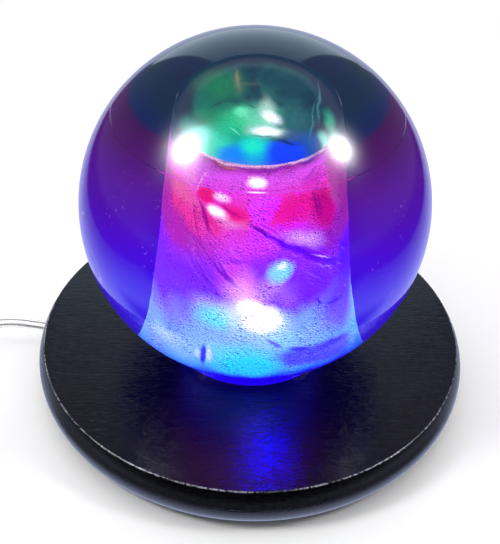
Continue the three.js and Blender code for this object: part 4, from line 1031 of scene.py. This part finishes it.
@dataclass(frozen=True)
class Studio:
    """The floor, the white surroundings, the lamps and the camera.

    The pane and the ceiling hold linear colours by shares of their rise in degrees. The lamps' ways hold a
    side, a turn and a rise in degrees, and a share of the size.
    """

    floor_radius: float = 3.0
    screen_edges: Pair = (113.0, 70.5)
    screen_top: float = 38.5
    screen_soft: float = 0.6
    lamp_aim: Point = (0.0, 0.0, 94 * MM)
    lamp_distance: float = 1.2
    lamp_size: float = 0.32
    lamp_power: float = 5.0
    lamp_ways: tuple[tuple[str, float, float, float], ...] = (
        ("left", -162.5, 47.5, 1.0),
        ("right", -6.2, 42.9, 0.8),
    )
    halo_radius: float = 0.75
    halo_fade: float = 0.078
    focal_pixels: float = 988.1
    frame_height: float = 544.0
    sensor: float = 36.0
    eye: Point = (0.0, -348.75 * MM, 338.85 * MM)
    eye_right: Point = (0.99943, 0.0233, 0.0243)
    eye_up: Point = (-0.03355, 0.62859, 0.77701)
    eye_ahead: Point = (-0.00283, 0.77739, -0.62901)
    pane_rise: Pair = (-12.0, 48.0)
    ceiling_rise: Pair = (-30.0, 90.0)
    dark_front: Pair = (-0.2, -0.6)
    dark_rise: Pair = (38.0, 30.0)
    dark: Colour = (0.012, 0.012, 0.018, 1.0)
    ambient_lean: float = 0.7
    ambient_rise: Pair = (0.1, 1.2)
    ambient_low: Colour = (0.1, 0.1, 0.11, 1.0)
    ambient_high: Colour = (1.3, 1.3, 1.3, 1.0)
    pane: Rows = ((0.1, 0.88, 1.05, 1.2), (0.4, 0.68, 0.84, 1.0), (0.84, 0.38, 0.58, 0.72))
    ceiling: Rows = (
        (0.1, 0.1, 0.11, 0.13), (0.28, 0.12, 0.13, 0.16), (0.42, 0.11, 0.11, 0.26),
        (0.595, 0.12, 0.13, 0.25), (0.615, 0.52, 0.42, 0.58), (0.66, 0.52, 0.42, 0.58),
        (0.7, 0.14, 0.16, 0.26), (1.0, 0.3, 0.3, 0.34),
    )

    def camera(self) -> None:
        """Places the camera at the photograph's viewing angle."""
        lens = bpy.data.cameras.new("camera")
        lens.lens = self.sensor * self.focal_pixels / self.frame_height
        lens.sensor_width = self.sensor
        lens.clip_start = 10 * MM
        eye = placed("camera", lens)
        turn = Matrix((self.eye_right, self.eye_up, -Vector(self.eye_ahead))).transposed()
        eye.matrix_world = Matrix.Translation(self.eye) @ turn.to_4x4()
        bpy.context.scene.camera = eye

    def surroundings(self) -> None:
        """Shows white to the camera, and to mirrors a dim room with one bright screen behind the lamp."""
        world = bpy.data.worlds.new("studio")
        bpy.context.scene.world = world
        shader = Shader(world)
        way = shader.node("ShaderNodeTexCoord", output="Generated").as_place()
        turn = way.turn()
        rise = way.axis(2).maths("ARCSINE", way.axis(2)) * math.degrees(1.0)
        (left, right), soft = self.screen_edges, self.screen_soft
        across = turn.between(right - soft, right + soft) * turn.between(left - soft, left + soft, 1.0, 0.0)
        screen = across * rise.between(self.screen_top - soft, self.screen_top + soft, 1.0, 0.0)
        pane, ceiling = (
            shader.ramp((rise - low) * (1 / (high - low)), [(at, (*rest, 1.0)) for at, *rest in rows])
            for rows, (low, high) in ((self.pane, self.pane_rise), (self.ceiling, self.ceiling_rise))
        )
        in_front = way.axis(1).between(*self.dark_front) * rise.between(*self.dark_rise)
        room = shader.mix(in_front, shader.mix(screen, ceiling, pane), self.dark)
        onto = (way.axis(1) * self.ambient_lean + way.axis(2)).between(*self.ambient_rise)
        ambient = shader.mix(onto, self.ambient_low, self.ambient_high)
        ambient = shader.mix(shader.ray("Glossy"), ambient, room)
        camera = shader.ray("Camera")
        colour = shader.mix(camera.maths("MAXIMUM", camera, shader.ray("Transmission")), ambient, WHITE)
        shader.finish(shader.node("ShaderNodeBackground", {}, {"Color": colour, "Strength": 1.0}))

    def lamps(self) -> None:
        """Stands two round lamps where the ball shows them as in the photograph, each with a soft halo."""
        for side, turn, rise, share in self.lamp_ways:
            lift = Matrix.Rotation(-math.radians(rise), 3, "Y") @ Vector((self.lamp_distance, 0.0, 0.0))
            place = Matrix.Rotation(math.radians(turn), 3, "Z") @ lift
            light = bpy.data.lights.new(f"lamp_{side}", "AREA")
            light.shape = "DISK"
            light.size = self.lamp_size * share
            light.energy = self.lamp_power * share * share
            glow = LampHalo(f"halo {side}", fade=self.halo_fade * share)
            halo = disc(f"halo_{side}", self.halo_radius, 64, glow)
            for made in (placed(light.name, light), halo):
                made.location = Vector(self.lamp_aim) + place
                made.rotation_euler = (-place).to_track_quat("-Z", "Y").to_euler()
            for sort in ("camera", "diffuse", "transmission", "volume_scatter", "shadow"):
                setattr(halo, f"visible_{sort}", False)

    def build(self) -> None:
        """Sets up everything that isn't the lamp."""
        self.camera()
        disc("floor", self.floor_radius, 96, WhiteFloor("white floor"))
        self.surroundings()
        self.lamps()
        bpy.context.scene.view_settings.view_transform = "Standard"


def carve(piece: bpy.types.Object, tool: Shape) -> None:
    """Cuts a tool's shape, which is freed, out of a piece before it rides on anything."""
    cutter = meshed("tool", tool)
    step = piece.modifiers.new("carve", "BOOLEAN")
    step.object = cutter
    step.solver = "EXACT"
    seen = piece.evaluated_get(bpy.context.evaluated_depsgraph_get())
    carved = bpy.data.meshes.new_from_object(seen)
    piece.modifiers.clear()
    piece.data = carved
    bpy.data.objects.remove(cutter)


def add_piece(
    name: str,
    shape: Shape,
    finish: Finish,
    replaced: Sequence[str] = (),
    sharp: float = 32.0,
    cuts: Sequence[Shape] = (),
) -> bpy.types.Object:
    """Turns a shape into a finished piece that rides on the lamp's body.

    Args:
        name: The piece's name.
        shape: Its shape, which is freed.
        finish: Its finish.
        replaced: The CAD nodes that it stands for.
        sharp: The angle in degrees over which an edge stays sharp.
        cuts: Shapes that are taken out of it, which are freed.

    Returns:
        The new object.
    """
    piece = meshed(name, shape)
    for tool in cuts:
        carve(piece, tool)
    mesh = piece.data
    mesh.name = name
    mesh.shade_smooth()
    mesh.set_sharp_from_angle(angle=math.radians(sharp))
    mesh.materials.clear()
    mesh.materials.append(finish.material())
    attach(piece, LAMP_BODY)
    if replaced:
        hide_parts(*replaced)
    LOG.info("made %s with %d faces", name, len(mesh.polygons))
    return piece


def spun(profile: Iterable[Pair], steps: int) -> Shape:
    """Spins a closed or axis-ended profile round Z.

    Args:
        profile: Points as radius and height.
        steps: How many steps the full turn has.

    Returns:
        The closed shape, with its faces outwards.
    """
    shape = bmesh.new()
    corners = [shape.verts.new((radius, 0.0, height)) for radius, height in profile]
    edges = [shape.edges.new(pair) for pair in zip(corners, corners[1:])]
    axis = {"cent": (0.0, 0.0, 0.0), "axis": (0.0, 0.0, 1.0)}
    bmesh.ops.spin(shape, geom=corners + edges, angle=FULL_TURN, steps=steps, use_merge=True, **axis)
    bmesh.ops.remove_doubles(shape, verts=shape.verts, dist=0.001 * MM)
    bmesh.ops.recalc_face_normals(shape, faces=shape.faces)
    return shape


def arc(middle: Pair, radius: float, start: float, end: float, steps: int) -> list[Pair]:
    """Gives the points of an arc.

    Args:
        middle: Its centre.
        radius: Its own radius.
        start: The first angle in radians.
        end: The last angle.
        steps: How many steps it has.

    Returns:
        The points, both ends among them.
    """
    angles = [start + (end - start) * i / steps for i in range(steps + 1)]
    return [(middle[0] + radius * math.cos(angle), middle[1] + radius * math.sin(angle)) for angle in angles]


@dataclass
class Ball:
    """The cast resin ball with its foot and core chamber, and the lit film in it."""

    radius: float = 75 * MM
    centre: float = 94.158 * MM
    foot_radius: float = 38 * MM
    foot_bottom: float = 22.3 * MM
    core_corner: float = 3 * MM
    seat_inner: float = 29.0125 * MM
    seat_outer: float = 35.0125 * MM
    seat_roof: float = 23.2 * MM
    film_lift: float = 0.06 * MM
    film_wall: float = 0.3 * MM
    sleeve_crumple: float = 0.55 * MM
    cap_crumple: float = 0.35 * MM
    fold_size: float = 17 * MM
    crumple_size: float = 5 * MM
    fine_size: float = 1.6 * MM
    spin_steps: int = 192
    film_steps: int = 200
    film_rows: int = 150
    film_rings: int = 40

    @property
    def corner(self) -> Pair:
        """The middle of the rounding at the chamber's top."""
        return CORE_RADIUS - self.core_corner, CORE_TOP - self.core_corner

    def profile(self) -> list[Pair]:
        """Returns the casting's outline from the top of the core chamber to the top of the ball."""
        foot = [
            (CORE_RADIUS, self.foot_bottom),
            (self.seat_inner, self.foot_bottom),
            (self.seat_inner, self.seat_roof),
            (self.seat_outer, self.seat_roof),
            (self.seat_outer, self.foot_bottom),
            (self.foot_radius, self.foot_bottom),
        ]
        inside = arc(self.corner, self.core_corner, math.pi / 2, 0.0, 8)
        start = -math.acos(self.foot_radius / self.radius)
        outside = arc((0.0, self.centre), self.radius, start, math.pi / 2, 110)
        return [(0.0, CORE_TOP), *inside, *foot, *outside[:-1], (0.0, self.centre + self.radius)]

    def crumpled(self, shape: Shape, reach: float) -> Shape:
        """Pushes a film's points outwards in folds and fine crumples.

        Args:
            shape: The film.
            reach: How far the deepest fold goes, in metres.

        Returns:
            The same film.
        """
        shoulder = self.corner[1]
        face = next(f for f in shape.faces if f.calc_center_median().xy.length > CORE_RADIUS / 2)
        middle = face.calc_center_median()
        if face.normal.dot(Vector((middle.x, middle.y, max(0.0, middle.z - shoulder)))) < 0:
            bmesh.ops.reverse_faces(shape, faces=shape.faces)
        for corner in shape.verts:
            place = corner.co
            folds = 1 - abs(noise.noise(place / self.fold_size))
            crumples = 1 - abs(noise.noise(place / self.crumple_size + Vector((7, 3, 1))))
            fine = noise.noise(place / self.fine_size)
            push = reach * (0.5 * folds**2 + 0.3 * crumples**2 + 0.1 * (fine + 1))
            outwards = Vector((place.x, place.y, 0.0))
            share = min(1.0, outwards.length / CORE_RADIUS)
            if place.z > shoulder:
                outwards = Vector((place.x * share, place.y * share, CORE_RADIUS * (1 - share)))
            corner.co = place + outwards.normalized() * push
        return shape

    def lining(self, name: str, shape: Shape, finish: Finish, replaced: str) -> bpy.types.Object:
        """Makes a piece of film with its wall, which grows inwards.

        Args:
            name: The piece's name.
            shape: Its shape.
            finish: Its finish.
            replaced: The CAD node that it stands for.

        Returns:
            The piece.
        """
        sheet = add_piece(name, shape, finish, replaced=(replaced,), sharp=60)
        wall = sheet.modifiers.new("wall", "SOLIDIFY")
        wall.thickness = self.film_wall
        wall.offset = -1.0
        return sheet

    def film(self) -> None:
        """Makes the sleeve and the cap of crumpled film, pressed on to the core's wall."""
        wall = CORE_RADIUS + self.film_lift
        bottom = self.foot_bottom + self.film_lift
        split = self.corner[1] - self.film_lift
        line = [(wall, bottom + (split - bottom) * i / self.film_rows) for i in range(self.film_rows + 1)]
        sleeve = self.crumpled(spun(line, self.film_steps), self.sleeve_crumple)
        lining = self.lining("film_lining", sleeve, LitFilm("lit film"), "film_sleeve")
        lining.data.materials.append(LitFilm("lit film foot", FilmPart.FOOT).material())
        for face in lining.data.polygons:
            face.material_index = int(face.center.z < FilmPart.FOOT.value[1])
        bend = arc(self.corner, self.core_corner + self.film_lift, 0.0, math.pi / 2, 10)
        shares = [1 - i / self.film_rings for i in range(1, self.film_rings + 1)]
        flat = [(self.corner[0] * share, CORE_TOP + self.film_lift) for share in shares]
        cap = spun([(wall, split + 0.1 * MM), *bend[1:], *flat], self.film_steps)
        finish = LitFilm("lit film cap", FilmPart.CAP)
        self.lining("film_crown", self.crumpled(cap, self.cap_crumple), finish, "film_cap")

    def build(self) -> None:
        """Makes the casting and its film."""
        finish = TintedResin("tinted cast resin")
        casting = spun(self.profile(), self.spin_steps)
        add_piece("resin_casting", casting, finish, replaced=("resin_ball",))
        self.film()


@dataclass
class Plate:
    """The round wooden plate with its drawn-in edge, cover recess and wiring pocket."""

    bottom: float = 2 * MM
    top: float = 22 * MM
    radius: float = 100 * MM
    top_draw: float = 3.1 * MM
    widest_drop: float = 9.4 * MM
    recess_radius: float = 88.3 * MM
    recess_roof: float = 4.3 * MM
    hole_radius: float = 8 * MM
    pilot_radius: float = 1.8 * MM
    screw_room: float = 0.3 * MM
    overrun: float = 1 * MM
    arris_bevel: float = 0.35 * MM
    close: float = 0.01 * MM
    pocket: tuple[Point, Point] = ((-46 * MM, -25 * MM, 3 * MM), (58 * MM, 25 * MM, 15 * MM))
    groove: tuple[Point, Point] = ((-101 * MM, 10.8 * MM, 1 * MM), (-45 * MM, 17.2 * MM, 8.1 * MM))
    spin_steps: int = 256
    edge_rows: int = 36

    def edge(self) -> list[Pair]:
        """Returns the edge's outline from the bottom to the upper arris."""
        rows = []
        for i in range(self.edge_rows + 1):
            height = self.bottom + (self.top - self.bottom) * i / self.edge_rows
            draw = (self.top - self.widest_drop - height) / self.widest_drop
            rows.append((self.radius - self.top_draw * draw**2, height))
        return rows

    def cuts(self) -> list[Shape]:
        """Returns the wiring pocket, the cord's groove and the screw holes, as shapes to take out."""
        tools = []
        for low, high in (self.pocket, self.groove):
            block = bmesh.new()
            size = Vector(high) - Vector(low)
            place = Matrix.Translation((Vector(low) + Vector(high)) / 2) @ Matrix.Diagonal((*size, 1.0))
            bmesh.ops.create_cube(block, size=1.0, matrix=place)
            tools.append(block)
        screws = [f"cover_screw_{i}" for i in range(1, 5)] + [f"board_screw_{i}" for i in range(1, 4)]
        for name in [*screws, "clamp_screw_1", "clamp_screw_2"]:
            hole = bmesh.new()
            middle, radius, low, high = self.screw_hole(name)
            place = Matrix.Translation((middle.x, middle.y, (low + high) / 2))
            size = {"radius1": radius, "radius2": radius, "depth": high - low}
            bmesh.ops.create_cone(hole, cap_ends=True, segments=24, matrix=place, **size)
            tools.append(hole)
        return tools

    def screw_hole(self, name: str) -> tuple[Vector, float, float, float]:
        """Returns the place, radius, bottom and top of a screw's hole, from the screw's own node."""
        low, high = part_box(name)
        on_board = name.startswith("board")
        radius = (high.x - low.x) / 2 if on_board else self.pilot_radius
        bottom = low.z - self.screw_room if on_board else self.recess_roof - self.overrun
        return (low + high) / 2, radius, bottom, min(high.z + self.screw_room, self.top + self.overrun)

    def build(self) -> None:
        """Makes the plate."""
        profile = [
            (self.hole_radius, self.recess_roof),
            (self.recess_radius, self.recess_roof),
            (self.recess_radius, self.bottom),
            *self.edge(),
            (self.hole_radius, self.top),
            (self.hole_radius, self.recess_roof),
        ]
        shape = spun(profile, self.spin_steps)
        arris_radius = self.radius - self.top_draw
        on_arris = {
            v
            for v in shape.verts
            if abs(v.co.z - self.top) < self.close and abs(v.co.xy.length - arris_radius) < self.close
        }
        arris = [e for e in shape.edges if on_arris.issuperset(e.verts)]
        form = {"offset_type": "OFFSET", "affect": "EDGES", "segments": 3, "profile": 0.5, "material": -1}
        bmesh.ops.bevel(shape, geom=arris, offset=self.arris_bevel, **form)
        finish = BlackWood("black stained wood")
        add_piece("wooden_plate", shape, finish, replaced=("base_plate",), cuts=self.cuts())


@dataclass
class FlatCord:
    """The clear flat twin cord, in two lengths, with its two stranded wires. Its paths are in millimetres."""

    width: float = 5.8 * MM
    thickness: float = 3.2 * MM
    waist: float = 0.86
    wire_radius: float = 0.32 * MM
    wire_reach: float = 1.35 * MM
    wire_corners: int = 12
    strand_lay: float = 20 * MM
    coil_radius: float = 39.5 * MM
    coil_gap: float = 0.6 * MM
    layer_turns: float = 3.25
    climb_turns: float = 0.5
    coil_lower: float = 3.7 * MM
    lead: float = 24 * MM
    lead_steps: int = 14
    plug_height: float = 6.85 * MM
    steps_per_turn: int = 56
    span_steps: int = 5
    to_switch: tuple[Point, ...] = (
        (-98, 14, 6.2), (-102.5, 14, 6.4), (-107.5, 14, 7.1), (-113, 14, 7.9), (-119, 14, 8.1),
        (-125.5, 14, 7.4), (-132, 14, 6.2), (-138.4, 14.5, 4.9), (-144.9, 16.7, 3.6), (-150.3, 20.6, 2.6),
        (-154.6, 25.7, 2), (-157, 31.6, 1.7), (-157.6, 38.2, 1.7), (-157.6, 51, 1.7), (-157.6, 64, 1.7),
        (-157.6, 77, 1.7), (-159.4, 86.9, 1.7), (-164.4, 94.4, 1.7), (-171.9, 99.4, 1.9),
        (-180.8, 101.2, 2.4), (-189.7, 99.4, 3.3), (-197.2, 94.4, 4.5), (-202.2, 86.9, 5.8),
        (-204, 80, 6.7), (-204, 75, 7), (-204, 70, 7),
    )
    to_coil: tuple[Point, ...] = (
        (-204, 7.4, 7), (-204, 3, 7), (-204, -2, 6.6), (-204, -8, 5.5), (-204, -14, 4.4),
        (-204, -18, 4), (-204, -22, 4),
    )

    @staticmethod
    def smooth(share: float) -> float:
        """Eases a share, held between 0 and 1."""
        held = min(1.0, max(0.0, share))
        return held * held * (3 - 2 * held)

    def eased(self, points: Sequence[Point]) -> list[Vector]:
        """Runs a smooth curve through points that are given in millimetres, and returns it in metres."""
        held = [Vector(p) * MM for p in (points[0], *points, points[-1])]
        curve = []
        for before, start, end, after in zip(held, held[1:], held[2:], held[3:]):
            square = 2 * before - 5 * start + 4 * end - after
            cube = 3 * start - before - 3 * end + after
            for i in range(self.span_steps):
                t = i / self.span_steps
                curve.append(0.5 * (2 * start + (end - before) * t + square * t**2 + cube * t**3))
        return [*curve, held[-1]]

    @staticmethod
    def flat_rings(points: Sequence[Vector]) -> Rings:
        """Gives each point of a path the level direction in which the cord is wide."""
        rings = []
        for i, point in enumerate(points):
            ahead = points[min(i + 1, len(points) - 1)] - points[max(i - 1, 0)]
            rings.append((point, Vector((-ahead.y, ahead.x, 0.0)).normalized()))
        return rings

    @staticmethod
    def leaning(place: Point, share: float) -> tuple[Vector, Vector]:
        """Pairs a place with the direction in which the cord is wide: level at share 0 and on edge at 1."""
        tilt = share * math.pi / 2
        return Vector(place), Vector((math.cos(tilt), 0.0, -math.sin(tilt)))

    def coil_rings(self, start: Vector) -> Rings:
        """Winds the coil on edge: in on the lower layer, up, and out on the upper one.

        Args:
            start: Where the cord comes to the coil, heading to -Y.

        Returns:
            The points with the directions in which the cord is wide.
        """
        rings = []
        upper = self.coil_lower + self.width + self.coil_gap
        turning = self.lead - self.width
        for i in range(1, self.lead_steps):
            run = self.lead * i / self.lead_steps
            turn = self.smooth((run - self.width) / turning)
            height = start.z + (self.coil_lower - start.z) * turn
            rings.append(self.leaning((start.x, start.y - run, height), turn))
        turns = 2 * self.layer_turns + self.climb_turns
        total = round(turns * self.steps_per_turn)
        for i in range(total + 1):
            done = turns * i / total
            climb = self.smooth((done - self.layer_turns) / self.climb_turns)
            radius = self.coil_radius - min(done, turns - done) * (self.thickness + self.coil_gap)
            angle = math.pi + FULL_TURN * done
            x = start.x + self.coil_radius + radius * math.cos(angle)
            y = start.y - self.lead + radius * math.sin(angle)
            rings.append(self.leaning((x, y, self.coil_lower + (upper - self.coil_lower) * climb), 1.0))
        for i in range(1, self.lead_steps + 1):
            run = self.lead * i / self.lead_steps
            turn = self.smooth(run / turning)
            height = upper + (self.plug_height - upper) * turn
            rings.append(self.leaning((start.x, start.y - self.lead - run, height), 1 - turn))
        return rings

    def section(self) -> list[Pair]:
        """Returns the insulation's outline: two round sides with a shallow groove between them."""
        radius = self.thickness / 2
        reach = self.width / 2 - radius
        outline = []
        for side in (1, -1):
            start = -side * math.pi / 2
            outline += arc((side * reach, 0.0), radius, start, start + math.pi, 6)
            outline.append((0.0, side * radius * self.waist))
        return outline

    def swept(self, rings: Rings, outline: Sequence[Pair]) -> Shape:
        """Draws an outline along rings.

        Args:
            rings: Points with the directions in which the cord is wide.
            outline: The section, as places across and up.

        Returns:
            The closed tube, with the strands' phase on its corners.
        """
        shape = bmesh.new()
        sine = shape.verts.layers.float.new("strand_sine")
        cosine = shape.verts.layers.float.new("strand_cosine")
        along = 0.0
        loop: list[bmesh.types.BMVert] = []
        rim: list[bmesh.types.BMEdge] = []
        for i, (point, wide) in enumerate(rings):
            ahead = rings[min(i + 1, len(rings) - 1)][0] - rings[max(i - 1, 0)][0]
            up = ahead.normalized().cross(wide).normalized()
            if i:
                along += (point - rings[i - 1][0]).length
                made = bmesh.ops.extrude_edge_only(shape, edges=rim)["geom"]
                fresh = {v for v in made if isinstance(v, bmesh.types.BMVert)}
                loop = [next(w for e in v.link_edges if (w := e.other_vert(v)) in fresh) for v in loop]
                rim = [shape.edges.get(pair) for pair in zip(loop, loop[1:] + loop[:1])]
            else:
                loop = [shape.verts.new(point) for _ in outline]
                rim = [shape.edges.new(pair) for pair in zip(loop, loop[1:] + loop[:1])]
            for k, (corner, (across, high)) in enumerate(zip(loop, outline)):
                corner.co = point + wide * across + up * high
                phase = FULL_TURN * (k / len(outline) + along / self.strand_lay)
                corner[sine] = math.sin(phase)
                corner[cosine] = math.cos(phase)
        bmesh.ops.holes_fill(shape, edges=[e for e in shape.edges if e.is_boundary], sides=0)
        bmesh.ops.recalc_face_normals(shape, faces=shape.faces)
        return shape

    def run(
        self,
        name: str,
        rings: Rings,
        replaced: Sequence[str],
        far_end: str,
        on_it: Sequence[bpy.types.Object],
    ) -> None:
        """Args:
            name: The cord's name.
            rings: Its points with the directions in which it is wide.
            replaced: The CAD nodes that it stands for.
            far_end: What is on its far end, in the frame's words.
            on_it: The pieces on it; not used.
        """
        tube = self.swept(rings, self.section())
        cover = add_piece(name, tube, ClearVinyl("clear cord cover"), replaced=replaced, sharp=75)
        wires = []
        for side, mark in ((1, "left"), (-1, "right")):
            middle = (side * self.wire_reach, 0.0)
            circle = arc(middle, self.wire_radius, 0.0, FULL_TURN, self.wire_corners)[:-1]
            core = self.swept(rings[1:-1], circle)
            strands = StrandedWire("tinned strands")
            wires.append(add_piece(f"{name}_wire_{mark}", core, strands, sharp=75))
        cover.visible_shadow = False
        for piece in (cover, *wires):
            piece.visible_glossy = far_end != "plug"
        length = sum((b[0] - a[0]).length for a, b in zip(rings, rings[1:]))
        LOG.info("%s is %.3f m long", name, length)

    def build(self, nodes: dict[str, bpy.types.Object]) -> None:
        """Makes both lengths of cord.

        Args:
            nodes: The CAD nodes by name.
        """
        first = self.flat_rings(self.eased(self.to_switch))
        on_first = [n for name, n in nodes.items() if name.startswith("switch") or name == "rocker_pin"]
        self.run("cord_to_the_switch", first, ("cord_to_switch",), "fitting", on_first)
        second = self.flat_rings(self.eased(self.to_coil))
        rings = [*second, *self.coil_rings(second[-1][0])]
        on_second = [n for name, n in nodes.items() if name.startswith("plug") or name == "coil_tie"]
        for node in (*on_first, *on_second):
            node.visible_glossy = False
        self.run("cord_to_the_plug", rings, ("cord_to_coil", "cord_coil"), "plug", on_second)


class Wardrobe:
    """The finishes of the CAD nodes that stay, by the record's slot."""

    finishes: dict[str, Finish] = {
        "stained_wood": BlackWood("black stained wood"),
        "fibre_board": Moulded("brown fibre board", shade(96, 66, 42), gloss=0.75, grain=0.8 * MM),
        "tinted_resin": TintedResin("tinted cast resin"),
        "clear_silicone": ClearSilicone("clear silicone"),
        "crumpled_film": LitFilm("lit film"),
        "white_board": Moulded("white circuit board", shade(228, 228, 222), gloss=0.35),
        "aluminium_post": Metal("brushed aluminium", shade(196, 198, 202), gloss=0.35),
        "white_plastic": Moulded("white plastic", shade(226, 225, 220)),
        "green_board": Moulded("green circuit board", shade(24, 92, 52), gloss=0.3),
        "black_plastic": Moulded("black plastic", shade(24, 24, 26), gloss=0.38),
        "clear_cord": ClearVinyl("clear cord cover"),
        "copper_wire": Metal("copper wire", shade(196, 112, 72)),
        "red_insulation": Moulded("red insulation", shade(170, 24, 24), gloss=0.35),
        "black_insulation": Moulded("black insulation", shade(20, 20, 22), gloss=0.35),
        "steel": Metal("zinc plated steel", shade(178, 180, 184)),
        "brass": Metal("turned brass", shade(206, 170, 96), gloss=0.25),
        "felt_pad": Moulded(
            "black foam rubber", shade(30, 30, 32), gloss=0.95, grain=0.4 * MM, relief=0.2 * MM
        ),
        "blue_led": GlowingChip("blue chip", shade(20, 60, 255)),
        "pink_led": GlowingChip("pink chip", shade(255, 60, 200)),
        "red_led": GlowingChip("red chip", shade(255, 30, 60)),
        "green_led": GlowingChip("green chip", shade(30, 255, 140)),
    }

    def dress(self, nodes: dict[str, bpy.types.Object]) -> None:
        """Gives every CAD node its finish in place of its plain colour."""
        for node in nodes.values():
            for held in node.material_slots:
                held.material = self.finishes[held.material.name.split(".")[0]].material()
        LOG.info("dressed %d CAD nodes", len(nodes))


def main() -> None:
    """Builds the lamp and its studio."""
    logging.basicConfig(level=logging.INFO)
    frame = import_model()
    nodes = frame["nodes"]
    Studio().build()
    Wardrobe().dress(nodes)
    FlatCord().build(nodes)
    Plate().build()
    Ball().build()


if __name__ == "__main__":
    main()
